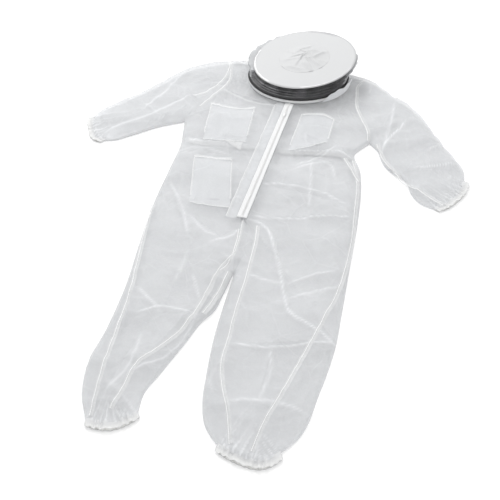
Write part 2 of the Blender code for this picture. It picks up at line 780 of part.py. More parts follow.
def make_veil_slider(suit):
    place = veil_slider_place()
    middle = Vector((COLLAR_X, COLLAR_Y, SEAM_Z))
    slider = body_frame("veil_slider_frame", middle, suit)
    make_slider("veil_zip_slider", slider_enamel(), slider, place, flanges=1)
    pivot = place @ Vector((0, 0, PIVOT_HEIGHT))
    pull = body_frame("veil_pull_frame", pivot, slider)
    make_pull("veil_zip_pull", slider_enamel(), pull, place, PULL_LENGTH)


# ---- Hood and hat -------------------------------------------------------------------------------

HOOP_RADIUS = NECK_RADIUS - GAP
HOOP_BOTTOM = SEAM_Z + GAP
HOOP_TOP = HOOP_BOTTOM + HOOP_HEIGHT


def hat_place():
    """The hat's frame: its brim's middle, tilted up to the rear and to the wearer's left."""
    left, rear = math.radians(HAT_RISE_TO_LEFT), math.radians(HAT_RISE_TO_REAR)
    out = Vector((-math.sin(left), -math.sin(rear), 1.0))
    turn = out.normalized().to_track_quat("Z", "Y").to_matrix().to_4x4()
    forward = turn.to_3x3() @ Vector((1, 0, 0))
    spin = Matrix.Rotation(-math.atan2(forward.y, forward.x), 4, "Z")
    return Matrix.Translation((HAT_X, HAT_Y, HAT_Z)) @ turn @ spin


def make_veil(name, arc, finish, body):
    """One half of the folded veil, from the hoop up to the underside of the brim."""
    lip = TRIM
    count = max(3, round(RING_SIDES * (arc[1] - arc[0]) / 360))
    place = hat_place()
    under = -BRIM_THICKNESS / 2 - GAP
    low_radius = HOOP_RADIUS - GAP
    top_radius = HAT_RADIUS - PIPING_WIDTH - GAP - WIRE
    corners = []
    for angle in steps(arc[0], arc[1], count):
        loop = []
        for thin in (0.0, lip):
            low = on_circle(low_radius - thin, angle)
            top = place @ Vector(raised(on_circle(top_radius - thin, angle, 0, 0), under))
            low = Vector(raised(low, HOOP_TOP + GAP))
            out = on_circle(VEIL_BULGE, angle, 0, 0)
            mid = (low + top) / 2 + Vector((out.x, out.y, 0))
            loop.append([low, mid, top])
        corners += loop[0] + loop[1][::-1]
    faces = []
    for i in range(count):
        for k in range(6):
            m = (k + 1) % 6
            faces.append([6 * i + k, 6 * i + 6 + k, 6 * i + 6 + m, 6 * i + m])
    faces += [list(range(6)), [6 * count + k for k in reversed(range(6))]]
    solid(name, corners, facing_out(corners, faces), finish, body)


def make_hood(hood):
    radii = (HOOP_RADIUS - HOOP_WIDTH, HOOP_RADIUS)
    ring("veil_hoop", radii, (HOOP_BOTTOM, HOOP_TOP), black_binding(), hood)
    seam = math.degrees(GAP / HOOP_RADIUS)
    make_veil("front_mesh", (MESH_START, MESH_END), black_mesh(), hood)
    make_veil("rear_veil", (MESH_END + seam, MESH_START + 360 - seam), white_trim(), hood)


def make_hat(hat):
    place = hat_place()
    half = BRIM_THICKNESS / 2
    wire_out = HAT_RADIUS - PIPING_WIDTH - GAP
    brim_edge = wire_out - WIRE - GAP
    brim_hole = SWEATBAND_RADIUS - TRIM - GAP
    piping = PIPING_HEIGHT / 2
    under = -half - GAP
    band = (SWEATBAND_RADIUS - TRIM, SWEATBAND_RADIUS)
    hoops = (
        ("hat_brim", (brim_hole, brim_edge), (-half, half), hat_cloth()),
        ("brim_piping", (HAT_RADIUS - PIPING_WIDTH, HAT_RADIUS), (-piping, piping), hat_cloth()),
        ("brim_wire", (wire_out - WIRE, wire_out), (-half, half), spring_wire()),
        ("sweatband", band, (under - SWEATBAND_HEIGHT, under), hat_cloth()),
    )
    for name, radii, heights, finish in hoops:
        ring(name, radii, heights, finish, hat, place=place, middle=(0.0, 0.0))
    turned("hat_crown", crown_profile(half + GAP), hat_cloth(), hat, place)


def crown_profile(foot):
    """The low dome's outer face from its middle to its foot, then its inner face back up."""
    high = foot + CROWN_HEIGHT
    dome, shoulder = CROWN_RADIUS * CROWN_DOME_SHARE, CROWN_RADIUS * CROWN_SHOULDER_SHARE
    outer = [(0.0, high), (dome, high - CROWN_DOME_DROP), (shoulder, high - CROWN_SHOULDER_DROP)]
    rim = [(CROWN_RADIUS, foot + CLOTH), (CROWN_RADIUS, foot), (CROWN_RADIUS - 2 * CLOTH, foot)]
    inner = [(shoulder - CLOTH, outer[2][1] - CLOTH), (dome, outer[1][1] - CLOTH), (0.0, high - CLOTH)]
    return outer + rim + inner


# ---- Assembly -----------------------------------------------------------------------------------


def footprint(pieces):
    spots = [piece.matrix_world @ vertex.co for piece in pieces for vertex in piece.data.vertices]
    low = Vector([min(spot[k] for spot in spots) for k in range(3)])
    high = Vector([max(spot[k] for spot in spots) for k in range(3)])
    return Vector(((low.x + high.x) / 2, (low.y + high.y) / 2, low.z))


def main():
    for old in list(bpy.data.objects):
        bpy.data.objects.remove(old, do_unlink=True)
    suit = body_frame("beekeeping_suit", (0, 0, 0))
    for side in (RIGHT, LEFT):
        make_front_panel(side, suit)
        make_back_panel(side, suit)
        make_sleeve(side, suit)
        make_cuff(side, suit)
        make_ankle(side, suit)
    make_gusset(suit)
    make_waist_elastic(suit)
    make_pockets(suit)
    make_collar(suit)
    make_front_zip(suit)
    make_front_slider(suit)
    hinge = Vector((COLLAR_X, COLLAR_Y + VEIL_COIL_RADIUS, SEAM_Z))
    hood = body_frame("hood_frame", hinge, suit)
    make_veil_zip(suit, hood)
    make_veil_slider(suit)
    make_hood(hood)
    hat = body_frame("hat_frame", (HAT_X, HAT_Y, HAT_Z), hood)
    make_hat(hat)
    bpy.context.view_layer.update()
    pieces = [piece for piece in bpy.data.objects if piece.type == "MESH" and not piece.hide_render]
    suit.location = -footprint(pieces)


main()
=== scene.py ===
"""Looks of a beekeeping suit laid out flat on its back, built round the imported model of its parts.

Metres, +Z up, +Y from the feet to the hat. Right and left are the wearer's, so the right sleeve is at
-X. Outlines are drawn about the collar, in the part's own plan: PLAN_X and PLAN_Y shift them into the
frame. The cloth is a set of sheets: a simulation settles the front over the air inside the suit,
with spare width where an elastic gathers it, and everything sewn on it is then laid on its surface.
"""

import json
import math

import bmesh
import bpy
import numpy as np
from mathutils import Matrix, Vector
from mathutils.bvhtree import BVHTree


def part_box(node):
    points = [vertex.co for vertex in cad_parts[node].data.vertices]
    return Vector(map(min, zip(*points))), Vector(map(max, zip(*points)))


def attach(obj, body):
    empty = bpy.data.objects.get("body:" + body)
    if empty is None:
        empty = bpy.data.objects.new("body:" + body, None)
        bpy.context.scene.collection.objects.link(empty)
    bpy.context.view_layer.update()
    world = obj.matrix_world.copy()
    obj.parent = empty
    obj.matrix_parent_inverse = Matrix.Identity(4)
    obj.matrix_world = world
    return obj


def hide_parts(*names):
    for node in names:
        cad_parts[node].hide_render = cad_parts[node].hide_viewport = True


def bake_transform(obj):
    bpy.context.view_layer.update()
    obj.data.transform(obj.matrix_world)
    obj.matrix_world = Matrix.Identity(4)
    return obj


bl_info = {
    "name": "Beekeeping suit",
    "version": (1, 0, 0),
    "blender": (4, 5, 0),
    "location": "View3D > Sidebar > Bee suit",
    "description": "Builds the cloth, zips, veil and hat of a beekeeping suit round its packed parts",
    "category": "Object",
}

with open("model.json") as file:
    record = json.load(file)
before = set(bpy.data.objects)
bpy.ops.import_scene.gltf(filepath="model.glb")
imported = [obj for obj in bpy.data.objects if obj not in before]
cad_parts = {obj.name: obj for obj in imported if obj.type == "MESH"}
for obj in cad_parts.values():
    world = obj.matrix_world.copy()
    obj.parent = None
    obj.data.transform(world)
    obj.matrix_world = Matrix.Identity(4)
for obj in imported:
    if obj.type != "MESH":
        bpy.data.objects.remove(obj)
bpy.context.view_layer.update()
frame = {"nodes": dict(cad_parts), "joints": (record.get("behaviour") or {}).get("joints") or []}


# ---- Where the drawing lies in the frame --------------------------------------------------------

RIGHT, LEFT = "right", "left"
SIGN = {RIGHT: -1, LEFT: 1}
COLLAR_X, COLLAR_Y = 0.004, 0.178
HOOP_LOW, HOOP_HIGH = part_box("veil_hoop")
PLAN_X = (HOOP_LOW.x + HOOP_HIGH.x) / 2 - COLLAR_X
PLAN_Y = (HOOP_LOW.y + HOOP_HIGH.y) / 2 - COLLAR_Y
HOOP_RADIUS = (HOOP_HIGH.x - HOOP_LOW.x) / 2
NECK_RADIUS = HOOP_RADIUS
ZIP_LOW, ZIP_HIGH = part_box("right_zip_tape")[0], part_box("left_zip_tape")[1]
ZIP_X = (ZIP_LOW.x + ZIP_HIGH.x) / 2 - PLAN_X
ZIP_TOP_Y, ZIP_BOTTOM_Y = ZIP_HIGH.y - PLAN_Y, ZIP_LOW.y - PLAN_Y
ZIP_Z = ZIP_LOW.z
CROTCH_Y = -0.797
CROTCH_X = 0.0395

# ---- Outlines, as laid out ----------------------------------------------------------------------

ARMHOLE = {
    RIGHT: [(-0.252, 0.287), (-0.240, 0.205), (-0.232, 0.110), (-0.248, 0.020), (-0.275, -0.070), (-0.300, -0.143)],
    LEFT: [(0.222, 0.274), (0.207, 0.190), (0.212, 0.120), (0.226, 0.045), (0.252, -0.020), (0.290, -0.122)],
}
OUTSIDE = {
    RIGHT: [(-0.300, -0.143), (-0.286, -0.205), (-0.275, -0.250), (-0.265, -0.390), (-0.255, -0.555),
            (-0.230, -0.755), (-0.210, -0.890), (-0.200, -1.040), (-0.198, -1.170), (-0.176, -1.245),
            (-0.142, -1.304)],
    LEFT: [(0.290, -0.122), (0.268, -0.160), (0.255, -0.188), (0.263, -0.222), (0.283, -0.270), (0.295, -0.330),
           (0.311, -0.490), (0.320, -0.700), (0.327, -0.870), (0.330, -0.970), (0.319, -1.112),
           (0.296, -1.245), (0.272, -1.282)],
}
INSIDE = {
    RIGHT: [(0.038, -0.797), (0.034, -0.875), (0.028, -0.935), (0.014, -0.965), (-0.008, -1.052),
            (-0.032, -1.145), (-0.048, -1.208), (-0.043, -1.258)],
    LEFT: [(0.041, -0.797), (0.044, -0.885), (0.054, -1.030), (0.068, -1.130), (0.080, -1.195),
           (0.105, -1.258), (0.142, -1.296)],
}
HEM = {
    RIGHT: [(-0.043, -1.258), (-0.055, -1.275), (-0.072, -1.292), (-0.092, -1.303), (-0.118, -1.306), (-0.142, -1.304)],
    LEFT: [(0.142, -1.296), (0.180, -1.310), (0.210, -1.316), (0.236, -1.316), (0.255, -1.304), (0.272, -1.282)],
}
SLEEVE_TOP = {
    RIGHT: [(-0.252, 0.287), (-0.330, 0.245), (-0.388, 0.196), (-0.413, 0.160), (-0.451, 0.083), (-0.489, 0.011),
            (-0.544, -0.079), (-0.580, -0.135), (-0.594, -0.185)],
    LEFT: [(0.222, 0.274), (0.252, 0.262), (0.286, 0.227), (0.334, 0.179), (0.379, 0.140), (0.425, 0.080),
           (0.471, -0.001), (0.516, -0.085), (0.556, -0.150), (0.578, -0.195), (0.583, -0.248)],
}
SLEEVE_UNDER = {
    RIGHT: [(-0.300, -0.143), (-0.373, -0.194), (-0.433, -0.254), (-0.480, -0.296), (-0.506, -0.303)],
    LEFT: [(0.290, -0.122), (0.322, -0.160), (0.337, -0.202), (0.356, -0.241), (0.386, -0.268), (0.414, -0.290),
           (0.426, -0.308), (0.436, -0.342), (0.452, -0.370), (0.475, -0.392), (0.510, -0.402)],
}
CUFF = {
    RIGHT: [(-0.594, -0.185), (-0.583, -0.222), (-0.566, -0.252), (-0.549, -0.283), (-0.530, -0.300), (-0.506, -0.303)],
    LEFT: [(0.583, -0.248), (0.576, -0.300), (0.556, -0.345), (0.535, -0.378), (0.510, -0.402)],
}
# The gusset between the legs: level, middle and width
GUSSET = [(ZIP_BOTTOM_Y, 0.012, 0.016), (-0.640, 0.030, 0.034), (-0.700, 0.041, 0.046), (-0.797, CROTCH_X, 0.003)]

# Creases pressed into the front while it was packed: where each runs, its height and its width
CREASES = [
    ([(0.020, -0.630), (0.000, -0.675), (-0.045, -0.710)], 0.0030, 0.010),
    ([(-0.130, -0.620), (-0.055, -0.680), (-0.020, -0.690)], 0.0020, 0.009),
    ([(0.040, -0.580), (0.120, -0.570), (0.200, -0.545), (0.290, -0.515)], 0.0030, 0.007),
    ([(0.025, -0.430), (0.095, -0.420), (0.155, -0.422), (0.270, -0.465)], 0.0028, 0.008),
    ([(0.185, -0.815), (0.230, -0.775), (0.285, -0.740)], 0.0030, 0.009),
    ([(0.195, -0.865), (0.255, -0.825), (0.318, -0.790)], 0.0030, 0.009),
    ([(0.105, -1.040), (0.190, -1.030), (0.275, -0.995), (0.325, -0.970)], 0.0034, 0.008),
    ([(0.190, -1.030), (0.205, -1.095), (0.200, -1.175)], 0.0026, 0.009),
    ([(0.140, -1.195), (0.235, -1.175), (0.300, -1.180)], 0.0026, 0.009),
    ([(0.075, -0.805), (0.170, -0.820)], 0.0026, 0.009),
    ([(-0.140, -0.995), (-0.100, -0.970), (-0.010, -0.965)], 0.0032, 0.007),
    ([(-0.170, -0.915), (-0.095, -0.975)], 0.0026, 0.008),
    ([(-0.050, -0.845), (-0.010, -0.920)], 0.0028, 0.008),
    ([(-0.090, -0.770), (-0.085, -0.820), (-0.088, -0.875)], 0.0020, 0.010),
    ([(0.030, -0.600), (0.060, -0.605), (0.130, -0.715), (0.185, -0.860), (0.205, -0.905), (0.265, -0.940),
      (0.325, -0.972)], 0.0040, 0.009),
    ([(-0.010, -0.925), (-0.006, -0.965), (-0.008, -1.025), (-0.035, -1.105), (-0.090, -1.170)], 0.0028, 0.008),
    ([(-0.235, 0.060), (-0.100, -0.005), (-0.025, -0.010)], 0.0026, 0.010),
    ([(0.100, -0.335), (0.195, -0.295), (0.225, -0.365)], 0.0024, 0.010),
    ([(-0.105, -1.060), (-0.100, -1.160), (-0.125, -1.235)], 0.0026, 0.010),
    ([(0.140, -0.285), (0.160, -0.400), (0.175, -0.500)], 0.0020, 0.009),
    ([(0.195, -0.190), (0.150, -0.280), (0.100, -0.320)], 0.0026, 0.010),
    ([(0.340, 0.105), (0.342, -0.020), (0.335, -0.180)], 0.0026, 0.010),
    ([(0.430, -0.250), (0.495, -0.220), (0.555, -0.180)], 0.0032, 0.009),
    ([(0.330, -0.155), (0.360, -0.075), (0.385, 0.005)], 0.0028, 0.010),
    ([(0.467, -0.147), (0.500, -0.094)], 0.0024, 0.010),
    ([(-0.390, 0.145), (-0.405, 0.015), (-0.440, -0.125)], 0.0026, 0.011),
    ([(-0.320, -0.015), (-0.420, -0.170), (-0.520, -0.275)], 0.0026, 0.012),
    ([(-0.280, -0.330), (-0.190, -0.300), (-0.100, -0.310)], 0.0018, 0.010),
    ([(-0.235, -0.480), (-0.150, -0.610), (-0.110, -0.700)], 0.0020, 0.010),
    ([(-0.262, -0.250), (-0.228, -0.262), (-0.196, -0.258)], 0.0044, 0.011),
    ([(0.192, -0.224), (0.222, -0.222), (0.252, -0.228)], 0.0046, 0.010),
    ([(-0.196, -0.258), (-0.130, -0.250), (-0.060, -0.252)], 0.0020, 0.006),
    ([(0.060, -0.246), (0.130, -0.232), (0.192, -0.224)], 0.0020, 0.006),
]

RNG_SEED = 11


def curve(points, count):
    """A smooth line through the points, as count + 1 points evenly far apart."""
    p = np.array(points, float)
    chord = np.concatenate([[0], np.cumsum(np.linalg.norm(np.diff(p, axis=0), axis=1))])
    slope = np.gradient(p, chord, axis=0) if len(p) > 2 else np.repeat([(p[1] - p[0]) / chord[1]], 2, axis=0)
    dense = []
    for i in range(len(p) - 1):
        span = chord[i + 1] - chord[i]
        for t in np.linspace(0, 1, 24, endpoint=False):
            dense.append((2 * t**3 - 3 * t**2 + 1) * p[i] + (t**3 - 2 * t**2 + t) * span * slope[i]
                         + (3 * t**2 - 2 * t**3) * p[i + 1] + (t**3 - t**2) * span * slope[i + 1])
    dense.append(p[-1])
    return evenly(np.array(dense), count)


def evenly(line, count):
    along = np.concatenate([[0], np.cumsum(np.linalg.norm(np.diff(line, axis=0), axis=1))])
    at = np.linspace(0, along[-1], count + 1)
    return np.stack([np.interp(at, along, line[:, k]) for k in range(line.shape[1])], axis=1)


def straight(a, b, count):
    t = np.linspace(0, 1, count + 1)[:, None]
    return np.array(a, float) * (1 - t) + np.array(b, float) * t


def around(start, end, count, radius=NECK_RADIUS):
    turn = np.radians(np.linspace(start, end, count + 1))
    return np.stack([COLLAR_X + radius * np.cos(turn), COLLAR_Y + radius * np.sin(turn)], axis=1)


def patch(top, bottom, first, last):
    """A grid of plan points spanned between four edges: rows run from top to bottom."""
    rows, cols = len(first), len(top)
    v, u = np.linspace(0, 1, rows)[:, None, None], np.linspace(0, 1, cols)[None, :, None]
    ruled = (1 - v) * top[None] + v * bottom[None] + (1 - u) * first[:, None] + u * last[:, None]
    corners = ((1 - v) * ((1 - u) * top[0] + u * top[-1]) + v * ((1 - u) * bottom[0] + u * bottom[-1]))
    return ruled - corners


def distance_to(points, lines):
    """How far each plan point is from the nearest of the lines."""
    found = np.full(len(points), 1e9)
    for line in lines:
        a, b = line[:-1], line[1:]
        way = b - a
        size = np.maximum((way**2).sum(1), 1e-12)
        for i in range(len(a)):
            t = np.clip(((points - a[i]) @ way[i]) / size[i], 0, 1)
            found = np.minimum(found, np.linalg.norm(points - a[i] - t[:, None] * way[i], axis=1))
    return found


# ---- Rows and columns of the cloth --------------------------------------------------------------

COLS, ARM_ROWS, TRUNK_ROWS, GUSSET_ROWS, LEG_ROWS, SLEEVE_ROWS = 28, 40, 42, 18, 52, 44
ZIP_GAP = 0.006
NECK_START = 135.0


def side_angle(side, angle):
    return angle if side == RIGHT else 180.0 - angle


def outside_points(side):
    """The outer edge below the armpit, in the three stretches that its rows are spread over."""
    line = curve(OUTSIDE[side], 600)
    start = line[0][1]
    levels = (start, ZIP_BOTTOM_Y, CROTCH_Y, line[-1][1])
    stretches = []
    for high, low, rows in zip(levels, levels[1:], (TRUNK_ROWS, GUSSET_ROWS, LEG_ROWS)):
        y = np.linspace(high, low, rows + 1)
        stretches.append(np.stack([np.interp(-y, -line[:, 1], line[:, 0]), y], axis=1))
    stretches[-1][-1] = line[-1]
    return stretches


def gusset_side(side, rows=GUSSET_ROWS):
    y = np.linspace(ZIP_BOTTOM_Y, CROTCH_Y, rows + 1)
    table = np.array(GUSSET)
    middle = np.interp(-y, -table[:, 0], table[:, 1])
    width = np.interp(-y, -table[:, 0], table[:, 2])
    return np.stack([middle + SIGN[side] * width / 2, y], axis=1)


def leg_grid(side):
    outer = outside_points(side)[2]
    inner = curve(INSIDE[side], LEG_ROWS)
    return patch(straight(inner[0], outer[0], COLS), curve(HEM[side], COLS), inner, outer)


def front_grid(side):
    """Plan points of a front panel, from the neck and shoulder to the ankle, zip side first."""
    arm = curve(ARMHOLE[side], ARM_ROWS)
    edge_x = ZIP_X + SIGN[side] * ZIP_GAP
    end = 270.0 - math.degrees(math.asin(SIGN[side] * (edge_x - COLLAR_X) / NECK_RADIUS))
    neck = around(side_angle(side, NECK_START), side_angle(side, end), ARM_ROWS)
    outer = outside_points(side)
    upper = patch(straight(neck[0], arm[0], COLS), straight(neck[-1], arm[-1], COLS), neck, arm)
    zip_line = straight(neck[-1], (edge_x, ZIP_BOTTOM_Y), TRUNK_ROWS)
    waist = straight((edge_x, ZIP_BOTTOM_Y), outer[0][-1], COLS)
    trunk = patch(upper[-1], waist, zip_line, outer[0])
    crotch = straight(gusset_side(side)[-1], outer[1][-1], COLS)
    inner = gusset_side(side)
    inner[0] = zip_line[-1]
    seat = patch(trunk[-1], crotch, inner, outer[1])
    return np.concatenate([upper, trunk[1:], seat[1:], leg_grid(side)[1:]])


def back_grid(side):
    arm = curve(ARMHOLE[side], ARM_ROWS)
    rear = np.concatenate([around(90.0, side_angle(side, NECK_START), 20)[:-1],
                           straight(around(side_angle(side, NECK_START), 0, 1)[0], arm[0], 12)])
    top = evenly(rear, COLS)
    outer = outside_points(side)
    chest = straight((ZIP_X, COLLAR_Y - NECK_RADIUS), arm[-1], COLS)
    upper = patch(top, chest, straight(top[0], chest[0], ARM_ROWS), arm)
    seam = straight(chest[0], (CROTCH_X, CROTCH_Y), TRUNK_ROWS + GUSSET_ROWS)
    outer_rows = np.concatenate([outer[0], outer[1][1:]])
    lower = patch(upper[-1], straight(seam[-1], outer_rows[-1], COLS), seam, outer_rows)
    leg = leg_grid(side)
    return np.concatenate([upper, lower[1:], leg[1:]])


def sleeve_grid(side):
    """Plan points of half a sleeve: rows from the armhole to the cuff, top edge first."""
    return patch(curve(ARMHOLE[side], ARM_ROWS), curve(CUFF[side], ARM_ROWS),
                 curve(SLEEVE_TOP[side], SLEEVE_ROWS), curve(SLEEVE_UNDER[side], SLEEVE_ROWS))


def gusset_grid():
    return patch(straight(gusset_side(RIGHT)[0], gusset_side(LEFT)[0], 4),
                 straight(gusset_side(RIGHT)[-1], gusset_side(LEFT)[-1], 4),
                 gusset_side(RIGHT), gusset_side(LEFT))


def closed_edges():
    lines = []
    for side in (RIGHT, LEFT):
        lines += [curve(SLEEVE_TOP[side], 60), curve(SLEEVE_UNDER[side], 60), curve(OUTSIDE[side], 120),
                  curve(INSIDE[side], 60),
                  np.array([around(side_angle(side, NECK_START), 0, 1)[0], ARMHOLE[side][0]])]
    lines.append(around(NECK_START, 180.0 - NECK_START, 16))
    return lines


EDGES = closed_edges()
ENDS = {(kind, side): curve(line[side], 60)
        for kind, line in (("cuff", CUFF), ("ankle", HEM)) for side in (RIGHT, LEFT)}
EDGE_Z = 0.0016
AIR_TOP = 0.0255
AIR_RAMP = 0.055
END_HEIGHT = 0.0052


def rise(distance):
    return np.sin(np.pi / 2 * np.clip(distance / AIR_RAMP, 0, 1)) ** 0.9


def swell(points):
    """Slow ups and downs of the air inside the suit, from 0 to 1."""
    x, y = points[:, 0], points[:, 1]
    waves = (np.sin(11 * x + 5 * y + 0.6) + np.sin(17 * y - 7 * x + 2.1) + 0.7 * np.sin(29 * x + 13 * y)
             + 0.6 * np.sin(31 * y - 23 * x + 1.3) + 0.4 * np.sin(51 * x + 40 * y + 0.4))
    return 0.5 + waves / 7.4


def air_height(points):
    height = EDGE_Z + (AIR_TOP - EDGE_Z) * rise(distance_to(points, EDGES)) * (0.70 + 0.30 * swell(points))
    near_end = distance_to(points, list(ENDS.values()))
    lowered = 0.45 + 0.55 * np.clip(near_end / 0.09, 0, 1)
    return height * lowered


def end_lift(count, ripples, seed):
    """Heights of a gathered end above its middle, front then back, for count + 1 points across."""
    u = np.linspace(0, 1, count + 1)
    bow = np.sqrt(np.clip(1 - (2 * u - 1) ** 2, 0, 1))
    wave = np.sin(2 * np.pi * (ripples * u + 0.35 * np.sin(2 * np.pi * u * 2 + seed)) + seed)
    front = END_HEIGHT + bow * (END_HEIGHT + 0.0030 * wave)
    wave = np.sin(2 * np.pi * (ripples * u + 0.3 * np.sin(2 * np.pi * u * 3 + seed + 1)) + seed + 2)
    back = END_HEIGHT - bow * (END_HEIGHT - 0.0012 - 0.0008 * wave)
    return front, back


END_RIPPLES = {("cuff", RIGHT): (5, 0.3), ("cuff", LEFT): (8, 1.9),
               ("ankle", RIGHT): (5, 3.1), ("ankle", LEFT): (7, 4.4)}


def neck_height(angle):
    """Height of the neckline: low behind, level with the zip in front."""
    facing = 0.5 - 0.5 * np.sin(np.radians(angle))
    return 0.004 + (ZIP_Z - 0.0012 - 0.004) * np.clip((facing - 0.15) / 0.45, 0, 1) ** 0.8

# ---- Meshes of cloth ----------------------------------------------------------------------------

CLOTH_THICKNESS = 0.00035


def grid_faces(rows, cols, offset=0):
    faces = []
    for i in range(rows - 1):
        for j in range(cols - 1):
            a = offset + i * cols + j
            faces.append((a, a + 1, a + cols + 1, a + cols))
    return faces


def faces_up(points, faces):
    """The faces turned so that the sheet as a whole faces up."""
    total = 0.0
    for a, b, c, d in faces:
        u, v = points[c] - points[a], points[d] - points[b]
        total += u[0] * v[1] - u[1] * v[0]
    return faces if total > 0 else [face[::-1] for face in faces]


def add_mesh(name, points, faces, shift=True):
    points = np.array(points, float)
    if shift:
        points = points + np.array((PLAN_X, PLAN_Y, 0.0))
    mesh = bpy.data.meshes.new(name)
    mesh.from_pydata([tuple(p) for p in points], [], [tuple(face) for face in faces])
    mesh.validate()
    made = bpy.data.objects.new(name, mesh)
    bpy.context.scene.collection.objects.link(made)
    return made


def choose(obj):
    """Makes obj the one selected and active object."""
    if bpy.context.object and bpy.context.object.mode != "OBJECT":
        bpy.ops.object.mode_set(mode="OBJECT")
    bpy.ops.object.select_all(action="DESELECT")
    obj.select_set(True)
    bpy.context.view_layer.objects.active = obj


def apply_modifier(obj, modifier):
    choose(obj)
    bpy.ops.object.modifier_apply(modifier=modifier.name)


def weld(obj, within=0.00002):
    bm = bmesh.new()
    bm.from_mesh(obj.data)
    bmesh.ops.remove_doubles(bm, verts=bm.verts, dist=within)
    bm.to_mesh(obj.data)
    bm.free()


def subdivide(obj, levels=1):
    modifier = obj.modifiers.new("smooth", "SUBSURF")
    modifier.levels = modifier.render_levels = levels
    modifier.boundary_smooth = "PRESERVE_CORNERS"
    apply_modifier(obj, modifier)


def thicken(obj, thickness=CLOTH_THICKNESS, offset=0.0):
    modifier = obj.modifiers.new("cloth_thickness", "SOLIDIFY")
    modifier.thickness = thickness
    modifier.offset = offset
    modifier.use_even_offset = False
    obj.data.shade_smooth()


def vertex_array(obj):
    co = np.zeros(len(obj.data.vertices) * 3)
    obj.data.vertices.foreach_get("co", co)
    return co.reshape(-1, 3)


def set_vertices(obj, points):
    obj.data.vertices.foreach_set("co", np.asarray(points, float).ravel())
    obj.data.update()


def finish(obj, body, material, nodes=()):
    """The last step of every piece: finish, body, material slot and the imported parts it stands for."""
    if material:
        obj.data.materials.clear()
        obj.data.materials.append(material)
    if body:
        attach(obj, body)
    if nodes:
        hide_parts(*nodes)
    return obj


# ---- The front cloth, settled over the air inside the suit --------------------------------------

SETTLE_FRAMES = 32
FRONT_KEYS = [("front", RIGHT), ("front", LEFT), ("gusset", None), ("sleeve", RIGHT), ("sleeve", LEFT)]


def plan_grids():
    grids = {("front", side): front_grid(side) for side in (RIGHT, LEFT)}
    grids[("gusset", None)] = gusset_grid()
    grids.update({("sleeve", side): sleeve_grid(side) for side in (RIGHT, LEFT)})
    return grids


def joined(grids):
    """All front grids as one mesh: its points, faces, and each grid's index into the points."""
    index, points, faces, places = {}, [], [], {}
    for key in FRONT_KEYS:
        grid = grids[key]
        rows, cols = grid.shape[:2]
        ids = np.zeros((rows, cols), int)
        for i in range(rows):
            for j in range(cols):
                spot = (round(grid[i, j, 0], 6), round(grid[i, j, 1], 6))
                if spot not in index:
                    index[spot] = len(points)
                    points.append(grid[i, j])
                ids[i, j] = index[spot]
        places[key] = ids
        flat = np.zeros((rows * cols, 3))
        flat[:, :2] = grid.reshape(-1, 2)
        for face in faces_up(flat, grid_faces(rows, cols)):
            corners = [int(ids.ravel()[k]) for k in face]
            if len(set(corners)) == 4:
                faces.append(corners)
    return np.array(points), faces, places


def slow_noise(points, seed, waves=40, shortest=0.045, longest=0.16):
    """Smooth noise of unit size from waves in seeded directions."""
    rng = np.random.default_rng(seed)
    total = np.zeros(len(points))
    for _ in range(waves):
        turn = rng.uniform(0, 2 * math.pi)
        length = rng.uniform(shortest, longest)
        way = np.array((math.cos(turn), math.sin(turn))) * 2 * math.pi / length
        total += np.sin(points[:, :2] @ way + rng.uniform(0, 2 * math.pi))
    return total / math.sqrt(waves / 2)


def end_rows(places, z, pins):
    """Pins the gathered ends of the sleeves and legs to their rippled shape."""
    for (kind, side), (ripples, seed) in END_RIPPLES.items():
        ids = places[("sleeve" if kind == "cuff" else "front", side)][-1]
        z[ids] = end_lift(len(ids) - 1, ripples, seed)[0]
        pins[ids] = 1.0


